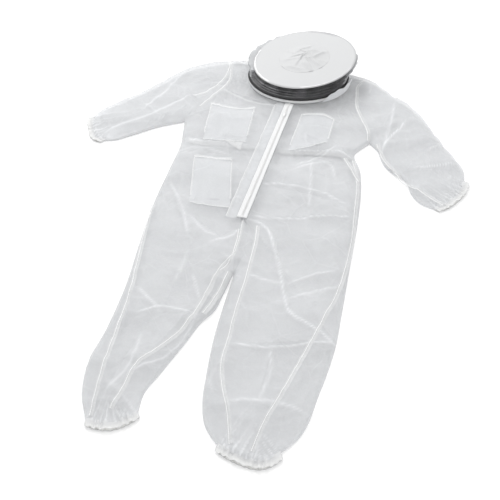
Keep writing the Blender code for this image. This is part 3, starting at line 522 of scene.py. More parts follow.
def settle_front(grids):
    """The front's settled points, with each grid's index into them."""
    points, faces, places = joined(grids)
    air = air_height(points)
    edge = distance_to(points, EDGES)
    z = air + 0.004 + 0.0035 * slow_noise(points, RNG_SEED) * np.clip(edge / 0.04, 0, 1)
    pins = (edge < 0.0006).astype(float)
    z[edge < 0.0006] = EDGE_Z
    for side in (RIGHT, LEFT):
        ids = places[("front", side)]
        neck, zip_side = ids[: ARM_ROWS + 1, 0], ids[ARM_ROWS: ARM_ROWS + TRUNK_ROWS + 1, :2]
        angle = np.degrees(np.arctan2(points[neck, 1] - COLLAR_Y, points[neck, 0] - COLLAR_X)) % 360
        z[neck] = neck_height(angle)
        z[zip_side] = ZIP_Z - 0.0008
        pins[neck] = 1.0
        pins[zip_side] = 1.0
    end_rows(places, z, pins)
    shape = np.column_stack([points, z])
    cloth = add_mesh("front_cloth_settling", shape, faces, shift=False)
    support = add_mesh("air_inside", np.column_stack([points, air - 0.001]), faces, shift=False)
    support.modifiers.new("Collision", "COLLISION")
    support.collision.thickness_outer = 0.001
    support.collision.cloth_friction = 8.0
    spare = np.zeros(len(points))
    for line in ENDS.values():
        spare = np.maximum(spare, np.exp(-((distance_to(points, [line]) / 0.060) ** 2)))
    waist = np.exp(-(((points[:, 1] + 0.225) / 0.030) ** 2)) * np.clip((np.abs(points[:, 0]) - 0.07) / 0.10, 0, 1)
    spare = np.maximum(spare, 0.55 * waist)
    pin_group, spare_group = cloth.vertex_groups.new(name="pins"), cloth.vertex_groups.new(name="spare")
    for i in range(len(points)):
        pin_group.add([i], float(pins[i]), "REPLACE")
        spare_group.add([i], float(spare[i]), "REPLACE")
    modifier = cloth.modifiers.new("Cloth", "CLOTH")
    settings = modifier.settings
    settings.quality = 5
    settings.mass = 0.15
    settings.tension_stiffness = settings.compression_stiffness = 12.0
    settings.shear_stiffness = 4.0
    settings.bending_stiffness = 0.35
    settings.bending_damping = 0.5
    settings.air_damping = 3.0
    settings.vertex_group_mass = "pins"
    settings.vertex_group_shrink = "spare"
    settings.shrink_min, settings.shrink_max = -0.028, -0.20
    modifier.collision_settings.distance_min = 0.001
    modifier.collision_settings.collision_quality = 2
    modifier.point_cache.frame_start, modifier.point_cache.frame_end = 1, SETTLE_FRAMES
    scene = bpy.context.scene
    for step in range(1, SETTLE_FRAMES + 1):
        scene.frame_set(step)
    apply_modifier(cloth, modifier)
    settled = vertex_array(cloth)
    scene.frame_set(1)
    for obj in (cloth, support):
        bpy.data.objects.remove(obj, do_unlink=True)
    return settled, places


FRONT_TOP = 0.0345


def limited(points):
    """Heights kept clear of the back and of the zip."""
    low = 0.0022 + 0.003 * np.clip(distance_to(points[:, :2], EDGES) / 0.02, 0, 1)
    z = np.maximum(points[:, 2], low)
    over = np.maximum(z - 0.026, 0)
    z = np.where(z > 0.026, 0.026 + (FRONT_TOP - 0.026) * np.tanh(over / (FRONT_TOP - 0.026)), z)
    by_zip = (np.abs(points[:, 0] - ZIP_X) < 0.024) & (points[:, 1] < ZIP_TOP_Y) & (points[:, 1] > ZIP_BOTTOM_Y)
    z = np.where(by_zip, np.minimum(z, ZIP_Z - 0.0006), z)
    edge = distance_to(points[:, :2], EDGES) < 0.0006
    z = np.where(edge, np.maximum(points[:, 2], EDGE_Z), z)
    return np.column_stack([points[:, :2], z])


GATHERS = {("cuff", RIGHT): 9, ("cuff", LEFT): 12, ("ankle", RIGHT): 9, ("ankle", LEFT): 12}


def fold_fields(points):
    """At plan points: height of the pressed folds, how folded the cloth is, and painted shade: one side of each crease
    darker or lighter, slow patches, and darker over the right sleeve and the left lower leg.
    """
    total, folded, painted_shade = np.zeros(len(points)), np.zeros(len(points)), np.zeros(len(points))
    for number, (line, height, width) in enumerate(CREASES):
        fine = curve(line, 40)
        away = distance_to(points, [fine])
        ends = np.minimum(np.linalg.norm(points - fine[0], axis=1), np.linalg.norm(points - fine[-1], axis=1))
        fade = np.clip(ends / (3 * width) + 0.25, 0, 1)
        total += height * fade * np.exp(-np.abs(away / width) ** 1.25)
        folded += height / 0.0045 * fade * np.exp(-np.abs(away / (0.36 * width)) ** 1.3)
        way = fine[-1] - fine[0]
        side = (points[:, 0] - fine[0, 0]) * way[1] - (points[:, 1] - fine[0, 1]) * way[0]
        reach = np.clip(ends / 0.05, 0, 1)
        # painted shade: one side of each crease made darker or lighter, fading within a few centimetres
        painted_shade += (1.0 if number % 2 else -0.8) * reach * np.where(side > 0, np.exp(-away / 0.045), 0.0)
    rng = np.random.default_rng(RNG_SEED + 5)
    for _ in range(70):
        middle = rng.uniform((-0.55, -1.28), (0.55, 0.25))
        turn, reach = rng.uniform(0, math.pi), rng.uniform(0.04, 0.13)
        way = np.array((math.cos(turn), math.sin(turn))) * reach / 2
        away = distance_to(points, [np.array([middle - way, middle + way])])
        ends = np.minimum(np.linalg.norm(points - middle + way, axis=1), np.linalg.norm(points - middle - way, axis=1))
        size = rng.uniform(-0.0012, 0.0018)
        total += size * np.clip(ends / 0.03, 0, 1) * np.exp(-np.abs(away / 0.007) ** 1.2)
        folded += max(size, 0) / 0.0060 * np.clip(ends / 0.03, 0, 1) * np.exp(-np.abs(away / 0.0035) ** 1.2)
    for key, line in ENDS.items():
        away = np.linalg.norm(points[:, None] - line[None], axis=2)
        u = away.argmin(axis=1) / (len(line) - 1)
        near = away.min(axis=1)
        wave = np.sin(2 * np.pi * (GATHERS[key] * u + 0.35 * np.sin(4 * np.pi * u + GATHERS[key])))
        reach = 0.030 + 0.018 * np.sin(2 * np.pi * 3.3 * u + 1.0)
        total += 0.0016 * wave * np.exp(-near / reach) * np.clip(near / 0.012, 0, 1)
        folded += (0.25 + 0.75 * np.clip(wave, 0, 1) ** 2) * np.exp(-(near / reach))
    edge = np.clip(distance_to(points, EDGES) / 0.02, 0, 1)
    by_zip = np.clip((np.abs(points[:, 0] - ZIP_X) - 0.02) / 0.02, 0, 1)
    below = np.clip((ZIP_BOTTOM_Y - points[:, 1]) / 0.02, 0, 1)
    # painted shade in slow patches, darker over the right sleeve and over the left leg below the crotch
    broad_painted_shade = 0.35 * slow_noise(points, RNG_SEED + 9, shortest=0.10, longest=0.35)
    broad_painted_shade = broad_painted_shade + 1.0 * np.clip((-points[:, 0] - 0.28) / 0.06, 0, 1)
    broad_painted_shade = broad_painted_shade + 0.4 * np.clip((points[:, 0] - 0.05) / 0.04, 0, 1) * np.clip((-0.80 - points[:, 1]) / 0.1, 0, 1)
    return total * edge * np.maximum(by_zip, below), np.clip(folded, 0, 1), np.clip(painted_shade + broad_painted_shade, -1, 1)


def keep_field(obj, name, values):
    obj.data.attributes.new(name, "FLOAT", "POINT").data.foreach_set("value", np.asarray(values, np.float32))


def back_height(points):
    """The back lies on the floor, in low wrinkles that end at its seams."""
    ripple = 0.5 + 0.5 * slow_noise(points, RNG_SEED + 1, shortest=0.03, longest=0.12) / 2.2
    edge = np.clip(distance_to(points, EDGES) / 0.03, 0, 1)
    return 0.0005 + (EDGE_Z - 0.0005) * (1 - edge) + 0.0022 * edge * np.clip(ripple, 0, 1.4)


def with_end(z, grid, kind, side):
    """Heights of a back grid, raised over its last rows into the gathered end."""
    ripples, seed = END_RIPPLES[(kind, side)]
    target = end_lift(grid.shape[1] - 1, ripples, seed)[1]
    z = z.reshape(grid.shape[:2])
    away = np.linalg.norm(grid - grid[-1][None], axis=2)
    share = np.clip(1 - away / 0.045, 0, 1)[...]
    share = share * share * (3 - 2 * share)
    return (z * (1 - share) + target[None] * share).ravel()


def make_sheet(name, layers):
    """A cloth piece from grids of points: each layer is (grid of 3-D points, faces up or down)."""
    points, faces = [], []
    for grid, up in layers:
        rows, cols = grid.shape[:2]
        flat = grid.reshape(-1, 3)
        found = faces_up(flat, grid_faces(rows, cols))
        start = len(points)
        points += list(flat)
        faces += [tuple(start + k for k in (face if up else face[::-1])) for face in found]
    made = add_mesh(name, points, faces)
    weld(made)
    subdivide(made)
    return made


def front_points(settled, places, key):
    ids = places[key]
    return settled[ids.ravel()].reshape(*ids.shape, 3)


def press_creases(obj):
    """Adds the pressed creases to a finished front piece, on its upper faces."""
    points = vertex_array(obj)
    plan = points[:, :2] - np.array((PLAN_X, PLAN_Y))
    upper = np.clip((points[:, 2] - 0.004) / 0.004, 0, 1)
    height, folded, painted_shade = fold_fields(plan)
    points[:, 2] += height * upper
    keep_field(obj, "fold", folded * (0.15 + 0.85 * upper))
    # painted shade, kept on the upper faces only, for the cloth's cover to read
    keep_field(obj, "painted_shade_field", painted_shade * upper)
    by_zip = (np.abs(plan[:, 0] - ZIP_X) < 0.017) & (plan[:, 1] < ZIP_TOP_Y) & (plan[:, 1] > ZIP_BOTTOM_Y - 0.004)
    points[:, 2] = np.where(by_zip, np.minimum(points[:, 2], ZIP_Z - 0.0004), points[:, 2])
    set_vertices(obj, points)


FRONT_SURFACE = {}


def remember_front(objs):
    """Keeps the front's surface, so that what is sewn on it can be laid on it."""
    points, faces = [], []
    for obj in objs:
        start = len(points)
        points += [tuple(v.co) for v in obj.data.vertices]
        faces += [[start + k for k in face.vertices] for face in obj.data.polygons]
    FRONT_SURFACE["tree"] = BVHTree.FromPolygons(points, faces)


def on_front(points):
    """Heights of the front cloth under plan points."""
    heights, last = [], 0.02
    for x, y in points:
        hit = FRONT_SURFACE["tree"].ray_cast(Vector((x + PLAN_X, y + PLAN_Y, 0.2)), Vector((0, 0, -1)))[0]
        last = hit.z if hit else last
        heights.append(last)
    return np.array(heights)

# ---- Finishes -----------------------------------------------------------------------------------


def new_group(name, inputs, outputs):
    """A shader node group with float inputs (name, default) and named outputs."""
    tree = bpy.data.node_groups.new(name, "ShaderNodeTree")
    for label, default in inputs:
        socket = tree.interface.new_socket(label, in_out="INPUT", socket_type="NodeSocketFloat")
        socket.default_value = default
    for label in outputs:
        tree.interface.new_socket(label, in_out="OUTPUT", socket_type="NodeSocketFloat")
    return tree, tree.nodes.new("NodeGroupInput"), tree.nodes.new("NodeGroupOutput")


def put(tree, kind, inputs=None, **settings):
    """A node with its settings, and its inputs given as values or as sockets to link."""
    made = tree.nodes.new(kind)
    for key, value in settings.items():
        setattr(made, key, value)
    for key, value in (inputs or {}).items():
        if isinstance(value, bpy.types.NodeSocket):
            tree.links.new(value, made.inputs[key])
        else:
            made.inputs[key].default_value = value
    return made


def maths(tree, operation, *values):
    return put(tree, "ShaderNodeMath", dict(enumerate(values)), operation=operation).outputs[0]


def spread(tree, value, low, high, to_low=0.0, to_high=1.0):
    """The value taken from one range to another, held at both ends."""
    made = put(tree, "ShaderNodeMapRange",
               {"Value": value, "From Min": low, "From Max": high, "To Min": to_low, "To Max": to_high})
    return made.outputs["Result"]


def group_crumple():
    """Fine straight creases of cloth that was packed flat: their lines, and their height."""
    tree, given, out = new_group("crumple", [("Scale", 9.0), ("Width", 0.03)], ["Line", "Height"])
    place = put(tree, "ShaderNodeTexCoord").outputs["Object"]
    bent = put(tree, "ShaderNodeTexNoise", {"Vector": place, "Scale": 6.0, "Detail": 2.0}).outputs["Color"]
    mixed = put(tree, "ShaderNodeVectorMath", {0: bent, "Scale": 0.06}, operation="SCALE").outputs[0]
    moved = put(tree, "ShaderNodeVectorMath", {0: place, 1: mixed}, operation="ADD").outputs[0]
    flat = put(tree, "ShaderNodeVectorMath", {0: moved, 1: (1.0, 1.0, 0.15)}, operation="MULTIPLY").outputs[0]
    cells = put(tree, "ShaderNodeTexVoronoi", {"Vector": flat, "Scale": given.outputs["Scale"]},
                feature="DISTANCE_TO_EDGE")
    line = spread(tree, cells.outputs["Distance"], 0.0, given.outputs["Width"], 1.0, 0.0)
    patchy = put(tree, "ShaderNodeTexNoise", {"Vector": place, "Scale": 11.0, "Detail": 1.0}).outputs["Fac"]
    line = maths(tree, "MULTIPLY", line, spread(tree, patchy, 0.42, 0.62))
    soft = put(tree, "ShaderNodeTexNoise", {"Vector": flat, "Scale": 38.0, "Detail": 3.0, "Roughness": 0.6})
    tree.links.new(line, out.inputs["Line"])
    tree.links.new(maths(tree, "ADD", line, soft.outputs["Fac"]), out.inputs["Height"])
    return tree


def group_fibres():
    """Spun-bonded fibre: cloudy thick and thin places, and the dots that bond it."""
    tree, given, out = new_group("spun_fibres", [("Cloud Scale", 240.0), ("Dot Scale", 560.0)], ["Density", "Height"])
    place = put(tree, "ShaderNodeTexCoord").outputs["Object"]
    cloud = put(tree, "ShaderNodeTexNoise", {"Vector": place, "Scale": given.outputs["Cloud Scale"], "Detail": 5.0,
                                             "Roughness": 0.65, "Distortion": 0.4}).outputs["Fac"]
    threads = put(tree, "ShaderNodeTexNoise", {"Vector": place, "Scale": 900.0, "Detail": 2.0, "Distortion": 1.5})
    dots = put(tree, "ShaderNodeTexVoronoi", {"Vector": place, "Scale": given.outputs["Dot Scale"], "Randomness": 0.25})
    bond = spread(tree, dots.outputs["Distance"], 0.18, 0.34, 0.0, 1.0)
    density = maths(tree, "ADD", maths(tree, "MULTIPLY", cloud, 0.75),
                    maths(tree, "MULTIPLY", threads.outputs["Fac"], 0.25))
    tree.links.new(density, out.inputs["Density"])
    tree.links.new(maths(tree, "ADD", bond, threads.outputs["Fac"]), out.inputs["Height"])
    return tree


def group_weave():
    """Plain weave on a piece's own map, whose units are metres."""
    tree, given, out = new_group("plain_weave", [("Threads", 1600.0), ("Slant", 0.0)], ["Height", "Open"])
    place = put(tree, "ShaderNodeUVMap").outputs["UV"]
    split = put(tree, "ShaderNodeSeparateXYZ", {0: place})
    across = maths(tree, "ADD", split.outputs["X"], maths(tree, "MULTIPLY", split.outputs["Y"], given.outputs["Slant"]))
    slanted = maths(tree, "MULTIPLY", split.outputs["X"], given.outputs["Slant"])
    along = maths(tree, "SUBTRACT", split.outputs["Y"], slanted)
    turns = maths(tree, "MULTIPLY", given.outputs["Threads"], math.pi)
    warp = maths(tree, "ABSOLUTE", maths(tree, "SINE", maths(tree, "MULTIPLY", across, turns)))
    weft = maths(tree, "ABSOLUTE", maths(tree, "SINE", maths(tree, "MULTIPLY", along, turns)))
    tree.links.new(maths(tree, "MAXIMUM", warp, weft), out.inputs["Height"])
    tree.links.new(maths(tree, "MULTIPLY", warp, weft), out.inputs["Open"])
    return tree


def group_stitches():
    """A row of stitches along a strip's own map: u runs along it in metres, v across it from 0 to 1."""
    tree, given, out = new_group("stitch_row", [("Pitch", 0.004), ("Row", 0.5), ("Width", 0.07)], ["Thread", "Height"])
    split = put(tree, "ShaderNodeSeparateXYZ", {0: put(tree, "ShaderNodeUVMap").outputs["UV"]})
    share = maths(tree, "FRACT", maths(tree, "DIVIDE", split.outputs["X"], given.outputs["Pitch"]))
    dash = spread(tree, maths(tree, "ABSOLUTE", maths(tree, "SUBTRACT", share, 0.5)), 0.34, 0.40, 1.0, 0.0)
    off = maths(tree, "ABSOLUTE", maths(tree, "SUBTRACT", split.outputs["Y"], given.outputs["Row"]))
    near = spread(tree, off, maths(tree, "MULTIPLY", given.outputs["Width"], 0.5), given.outputs["Width"], 1.0, 0.0)
    thread = maths(tree, "MULTIPLY", dash, near)
    tree.links.new(thread, out.inputs["Thread"])
    tree.links.new(thread, out.inputs["Height"])
    return tree


GROUPS = {}


def shared(builder):
    if builder.__name__ not in GROUPS:
        GROUPS[builder.__name__] = builder()
    return GROUPS[builder.__name__]


def use(tree, builder, **values):
    made = tree.nodes.new("ShaderNodeGroup")
    made.node_tree = shared(builder)
    for key, value in values.items():
        made.inputs[key.replace("_", " ")].default_value = value
    return made


def new_material(name):
    """A material with a Principled shader: (material, its tree, the shader)."""
    made = bpy.data.materials.new(name)
    made.use_nodes = True
    tree = made.node_tree
    return made, tree, tree.nodes["Principled BSDF"]


def tint(tree, factor, dark, light):
    made = put(tree, "ShaderNodeMix", {0: factor}, data_type="RGBA")
    made.inputs[6].default_value, made.inputs[7].default_value = (*dark, 1), (*light, 1)
    return made.outputs[2]


def bump(tree, shader, height, distance, strength=1.0, under=None):
    made = put(tree, "ShaderNodeBump", {"Height": height, "Distance": distance, "Strength": strength})
    if under is not None:
        tree.links.new(under, made.inputs["Normal"])
    tree.links.new(made.outputs[0], shader.inputs["Normal"])
    return made.outputs[0]


def attribute(tree, name):
    return put(tree, "ShaderNodeAttribute", attribute_name=name).outputs["Fac"]


def suit_cloth(name, cover, tone, swing=0.022):
    """Thin spun-bonded cloth, see-through where its fibre is thin. Cover is how much of it is opaque.
    It is thicker to look through along a fold, which the sheets carry as an attribute, and painted shade from a second
    attribute raises or lowers its cover, darkening or lightening it."""
    made, tree, shader = new_material(name)
    fibres, crumple = use(tree, group_fibres), use(tree, group_crumple)
    density = spread(tree, fibres.outputs["Density"], 0.32, 0.68)
    fold, painted_shade_field = attribute(tree, "fold"), attribute(tree, "painted_shade_field")
    dark, light = tuple(v * 0.975 for v in tone), tone
    base = put(tree, "ShaderNodeMix", {0: fold, 6: tint(tree, density, dark, light),
                                       7: (*(min(1.0, v * 1.16) for v in tone), 1)}, data_type="RGBA")
    tree.links.new(base.outputs[2], shader.inputs["Base Color"])
    alpha = spread(tree, fibres.outputs["Density"], 0.3, 0.7, cover - swing, cover + swing)
    # painted shade: the shade attribute shifts the cover, which darkens or lightens the cloth
    for value, share in ((crumple.outputs["Line"], 0.05), (fold, 0.32), (painted_shade_field, 0.13)):
        alpha = maths(tree, "ADD", alpha, maths(tree, "MULTIPLY", value, share))
    tree.links.new(alpha, shader.inputs["Alpha"])
    rough = spread(tree, fibres.outputs["Density"], 0.3, 0.7, 0.62, 0.78)
    tree.links.new(rough, shader.inputs["Roughness"])
    fine = bump(tree, shader, fibres.outputs["Height"], 0.00004, 0.4)
    bump(tree, shader, crumple.outputs["Height"], 0.0010, 0.7, under=fine)
    shader.inputs["Specular IOR Level"].default_value = 0.25
    return made


def seam_cloth(name, cover, tone):
    """Several layers of the cloth sewn together, with a row of stitches."""
    made, tree, shader = new_material(name)
    fibres, stitch = use(tree, group_fibres), use(tree, group_stitches, Row=0.3)
    density = spread(tree, fibres.outputs["Density"], 0.32, 0.68)
    base = tint(tree, density, tuple(v * 0.96 for v in tone), tone)
    sewn = put(tree, "ShaderNodeMix", {0: stitch.outputs["Thread"], 6: base, 7: (0.96, 0.96, 0.96, 1)}, data_type="RGBA")
    tree.links.new(sewn.outputs[2], shader.inputs["Base Color"])
    alpha = spread(tree, fibres.outputs["Density"], 0.3, 0.7, cover - 0.07, cover + 0.07)
    tree.links.new(maths(tree, "MAXIMUM", alpha, stitch.outputs["Thread"]), shader.inputs["Alpha"])
    shader.inputs["Roughness"].default_value = 0.7
    fine = bump(tree, shader, fibres.outputs["Height"], 0.00008, 0.6)
    bump(tree, shader, stitch.outputs["Height"], 0.0005, 0.9, under=fine)
    return made


def woven_cloth(name, dark, light, threads, depth=0.00012, slant=0.0, roughness=0.75):
    """Opaque woven cloth or tape, with slight unevenness from thread to thread and painted shade in the gaps between
    threads.
    """
    made, tree, shader = new_material(name)
    weave = use(tree, group_weave, Threads=threads, Slant=slant)
    uneven = put(tree, "ShaderNodeTexNoise", {"Scale": 42.0, "Detail": 5.0, "Roughness": 0.6,
                                              "Vector": put(tree, "ShaderNodeTexCoord").outputs["Object"]})
    # painted shade: darker in the gaps between threads, mixed with random unevenness
    shade = maths(tree, "ADD", maths(tree, "MULTIPLY", weave.outputs["Height"], 0.45),
                  maths(tree, "MULTIPLY", uneven.outputs["Fac"], 0.55))
    tree.links.new(tint(tree, spread(tree, shade, 0.25, 0.85), dark, light), shader.inputs["Base Color"])
    tree.links.new(spread(tree, uneven.outputs["Fac"], 0.3, 0.7, roughness - 0.08, roughness + 0.08),
                   shader.inputs["Roughness"])
    bump(tree, shader, weave.outputs["Height"], depth, 0.8)
    return made


def hat_cloth(name, dark, light, border):
    """The hat's cotton: woven, with a stitched border round the brim that two more layers make darker."""
    made = woven_cloth(name, dark, light, 1500.0)
    tree = made.node_tree
    shader = tree.nodes["Principled BSDF"]
    base = shader.inputs["Base Color"].links[0].from_socket
    from_middle = put(tree, "ShaderNodeVectorMath", {0: put(tree, "ShaderNodeUVMap").outputs["UV"]}, operation="LENGTH")
    out = spread(tree, from_middle.outputs["Value"], border - 0.0006, border + 0.0006)
    bound = put(tree, "ShaderNodeMix", {0: out, 6: base, 7: (*(v * 0.86 for v in light), 1)}, data_type="RGBA")
    tree.links.new(bound.outputs[2], shader.inputs["Base Color"])
    return made


def open_net(name, colour, threads, cover):
    """Knitted net: thin threads with holes between them."""
    made, tree, shader = new_material(name)
    weave = use(tree, group_weave, Threads=threads, Slant=0.5)
    uneven = put(tree, "ShaderNodeTexNoise", {"Scale": 30.0, "Detail": 3.0,
                                              "Vector": put(tree, "ShaderNodeTexCoord").outputs["Object"]})
    light = tuple(min(1.0, v * 2.4 + 0.01) for v in colour)
    tree.links.new(tint(tree, spread(tree, uneven.outputs["Fac"], 0.35, 0.7), colour, light),
                   shader.inputs["Base Color"])
    hole = spread(tree, weave.outputs["Open"], 1 - cover - 0.12, 1 - cover + 0.12, 1.0, 0.12)
    tree.links.new(hole, shader.inputs["Alpha"])
    shader.inputs["Roughness"].default_value = 0.55
    bump(tree, shader, weave.outputs["Height"], 0.00025, 0.8)
    return made


def nylon(name, colour, roughness):
    """Moulded nylon, its colour and gloss a little uneven."""
    made, tree, shader = new_material(name)
    uneven = put(tree, "ShaderNodeTexNoise", {"Scale": 240.0, "Detail": 3.0,
                                              "Vector": put(tree, "ShaderNodeTexCoord").outputs["Object"]})
    fac = spread(tree, uneven.outputs["Fac"], 0.3, 0.7)
    tree.links.new(tint(tree, fac, tuple(v * 0.95 for v in colour), colour), shader.inputs["Base Color"])
    tree.links.new(spread(tree, uneven.outputs["Fac"], 0.3, 0.7, roughness - 0.08, roughness + 0.1),
                   shader.inputs["Roughness"])
    bump(tree, shader, uneven.outputs["Fac"], 0.00008, 0.5)
    shader.inputs["Coat Weight"].default_value = 0.15
    return made


def enamel(name, colour, metal):
    """Enamel on cast zinc, rubbed thin in spots."""
    made, tree, shader = new_material(name)
    place = put(tree, "ShaderNodeTexCoord").outputs["Object"]
    spots = put(tree, "ShaderNodeTexNoise", {"Vector": place, "Scale": 420.0, "Detail": 4.0}).outputs["Fac"]
    worn = spread(tree, spots, 0.66, 0.72)
    tree.links.new(tint(tree, worn, colour, metal), shader.inputs["Base Color"])
    tree.links.new(maths(tree, "MULTIPLY", worn, 0.9), shader.inputs["Metallic"])
    tree.links.new(spread(tree, spots, 0.3, 0.75, 0.22, 0.45), shader.inputs["Roughness"])
    shader.inputs["Coat Weight"].default_value = 0.4
    bump(tree, shader, spots, 0.00006, 0.6)
    return made


def steel(name):
    made, tree, shader = new_material(name)
    place = put(tree, "ShaderNodeTexCoord").outputs["Object"]
    drawn = put(tree, "ShaderNodeTexNoise", {"Vector": place, "Scale": 300.0, "Detail": 3.0}).outputs["Fac"]
    tree.links.new(tint(tree, drawn, (0.55, 0.55, 0.56), (0.78, 0.78, 0.79)), shader.inputs["Base Color"])
    shader.inputs["Metallic"].default_value = 1.0
    tree.links.new(spread(tree, drawn, 0.3, 0.7, 0.28, 0.42), shader.inputs["Roughness"])
    bump(tree, shader, drawn, 0.00005, 0.5)
    return made


FINISHES = {}


def make_finishes(look):
    white = tuple(look.cloth_colour)
    FINISHES.update(
        front=suit_cloth("front_cloth", look.cloth_cover, white),
        back=suit_cloth("back_cloth", look.cloth_cover, white),
        pocket=suit_cloth("pocket_cloth", look.cloth_cover * 0.8, tuple(v * 1.24 for v in white), swing=0.02),
        fold=suit_cloth("collar_fold_cloth", 0.90, tuple(v * 1.16 for v in white)),
        seam=seam_cloth("seam_cloth", look.seam_cover, tuple(look.trim_colour)),
        casing=suit_cloth("casing_cloth", min(0.95, look.cloth_cover * 1.25), tuple(look.trim_colour)),
        tape=woven_cloth("zip_tape_weave", (0.66, 0.665, 0.67), (0.73, 0.735, 0.74), 1400.0),
        coil=nylon("coil_nylon_white", (0.74, 0.74, 0.74), 0.34),
        dark_coil=nylon("coil_nylon_black", (0.03, 0.03, 0.032), 0.34),
        slider=enamel("slider_enamel_white", (0.78, 0.78, 0.78), (0.60, 0.60, 0.60)),
        elastic=woven_cloth("elastic_rib", (0.78, 0.78, 0.76), (0.93, 0.93, 0.91), 700.0, 0.0004),
        hat=hat_cloth("hat_cotton", tuple(v * 0.95 for v in look.hat_colour), tuple(look.hat_colour), 0.1610),
        piping=woven_cloth("hat_piping", tuple(v * 0.74 for v in look.hat_colour),
                           tuple(v * 0.86 for v in look.hat_colour), 900.0),
        # painted shade: the veil's cloth is the suit's cloth made darker, standing in for the shade it lies in by the
        # brim
        veil=suit_cloth("veil_cloth_painted_shade", 0.82, tuple(v * 0.80 for v in white)),
        net=open_net("veil_net", tuple(look.net_colour), 520.0, 0.30),
        binding=woven_cloth("hoop_binding", (0.010, 0.010, 0.011), (0.05, 0.05, 0.052), 1100.0, 0.0002),
        wire=steel("spring_wire_steel"),
    )

# ---- Strips, rings and small hardware -----------------------------------------------------------


def map_points(obj, uv):
    """Gives obj a UV map with one place per vertex."""
    layer = obj.data.uv_layers.new(name="UVMap")
    index = np.zeros(len(obj.data.loops), int)
    obj.data.loops.foreach_get("vertex_index", index)
    layer.data.foreach_set("uv", np.asarray(uv, float).reshape(-1, 2)[index].ravel())


def map_flat(obj):
    map_points(obj, vertex_array(obj)[:, :2])


def lay_grid(name, grid, uv=None, up=True):
    """One sheet from a grid of plan points with heights."""
    flat = grid.reshape(-1, 3)
    faces = faces_up(flat, grid_faces(*grid.shape[:2]))
    made = add_mesh(name, flat, faces if up else [face[::-1] for face in faces])
    map_points(made, flat[:, :2] if uv is None else uv)
    made.data.shade_smooth()
    return made


def strip_plan(line, width, across=4, offset=0.0):
    """Plan points of a strip along a line, rows along it, and its map: metres along, share across."""
    way = np.gradient(line, axis=0)
    way = way / np.linalg.norm(way, axis=1)[:, None]
    side = np.stack([-way[:, 1], way[:, 0]], axis=1)
    v = np.linspace(-0.5, 0.5, across + 1)
    grid = line[:, None, :] + side[:, None, :] * (v[None, :, None] * width + offset)
    run = np.concatenate([[0], np.cumsum(np.linalg.norm(np.diff(line, axis=0), axis=1))])
    uv = np.stack([np.repeat(run[:, None], across + 1, 1), np.repeat(v[None] + 0.5, len(line), 0)], axis=2)
    return grid, uv


def lay_strip(name, points, width, lift=0.0006, crown=0.0006, across=4, offset=0.0, step=0.006):
    """A strip of cloth sewn on the front along a line."""
    length = float(np.linalg.norm(np.diff(np.array(points), axis=0), axis=1).sum())
    line = curve(points, max(4, round(length / step)))
    grid, uv = strip_plan(line, width, across, offset)
    z = on_front(grid.reshape(-1, 2)).reshape(grid.shape[:2])
    z = np.maximum(z, 0.5 * (z + z.mean(axis=1, keepdims=True)))
    z = z + lift + crown * (1 - (2 * uv[:, :, 1] - 1) ** 2)
    return lay_grid(name, np.dstack([grid, z]), uv)


# Depths of the casings and elastics, and the walls they are modelled with
CASING_DEPTH, ELASTIC_DEPTH, WAIST_CASING_DEPTH = 0.022, 0.012, 0.024
CLOTH_WALL, TRIM_WALL = 0.002, 0.0012
# Assumed: how much fuller a casing is cut than it lies, and how far its elastic is pulled
GATHER_FULLNESS = 1.15
ELASTIC_STRETCH = 1.15
WELT_WIDTH = 0.014


def cloth_in(node, wall):
    """Area of cloth in a thin piece of the part: its volume over its wall."""
    solid = bmesh.new()
    solid.from_mesh(frame["nodes"][node].data)
    cloth = abs(solid.calc_volume()) / wall
    solid.free()
    return cloth


def band_cut(node, wall, depth, ratio):
    """A casing or elastic as cut: the length that it lies at in the part times ratio, and its depth."""
    return round(cloth_in(node, wall) / depth * ratio, 3), depth


def raised_height(node):
    """Height of cloth that a piece of the veil needs when the hat is fully up."""
    low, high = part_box(node)
    rise = next(joint["range_m"][1] for joint in frame["joints"] if joint["name"] == "hat_raise")
    return round(high.z - low.z + rise, 3)


def edit(obj, select="SELECT"):
    choose(obj)
    bpy.ops.object.mode_set(mode="EDIT")
    bpy.ops.mesh.select_all(action=select)


def leave_edit():
    bpy.ops.object.mode_set(mode="OBJECT")


def spun(name, profile, centre, steps=160, start=0.0, angle=360.0):
    """A ring spun from a closed profile of (radius, height) points, or an arc of it with closed ends."""
    whole = abs(angle - 360.0) < 1e-6
    bpy.ops.object.select_all(action="DESELECT")
    bpy.ops.mesh.primitive_circle_add(vertices=len(profile), radius=0.01, fill_type="NOTHING" if whole else "NGON")
    made = bpy.context.object
    made.name = name
    turn = math.radians(start)
    set_vertices(made, [(centre[0] + r * math.cos(turn), centre[1] + r * math.sin(turn), z) for r, z in profile])
    edit(made)
    bpy.ops.mesh.spin(steps=steps, angle=math.radians(angle), center=(centre[0], centre[1], 0.0), axis=(0, 0, 1))
    bpy.ops.mesh.select_all(action="SELECT")
    bpy.ops.mesh.remove_doubles(threshold=1e-6)
    bpy.ops.mesh.normals_make_consistent(inside=False)
    leave_edit()
    made.data.shade_smooth()
    return made


def ring_uv(obj, centre, radius, tall):
    """A map round a ring: metres along it, and its height from 0 to tall as 0 to 1."""
    points = vertex_array(obj)
    turn = np.arctan2(points[:, 1] - centre[1], points[:, 0] - centre[0])
    low = points[:, 2].min()
    layer = obj.data.uv_layers.get("UVMap") or obj.data.uv_layers.new(name="UVMap")
    for face in obj.data.polygons:
        first = turn[face.vertices[0]]
        for loop in face.loop_indices:
            here = turn[obj.data.loops[loop].vertex_index]
            here += 2 * math.pi * round((first - here) / (2 * math.pi))
            layer.data[loop].uv = (here * radius, (points[obj.data.loops[loop].vertex_index][2] - low) / tall)


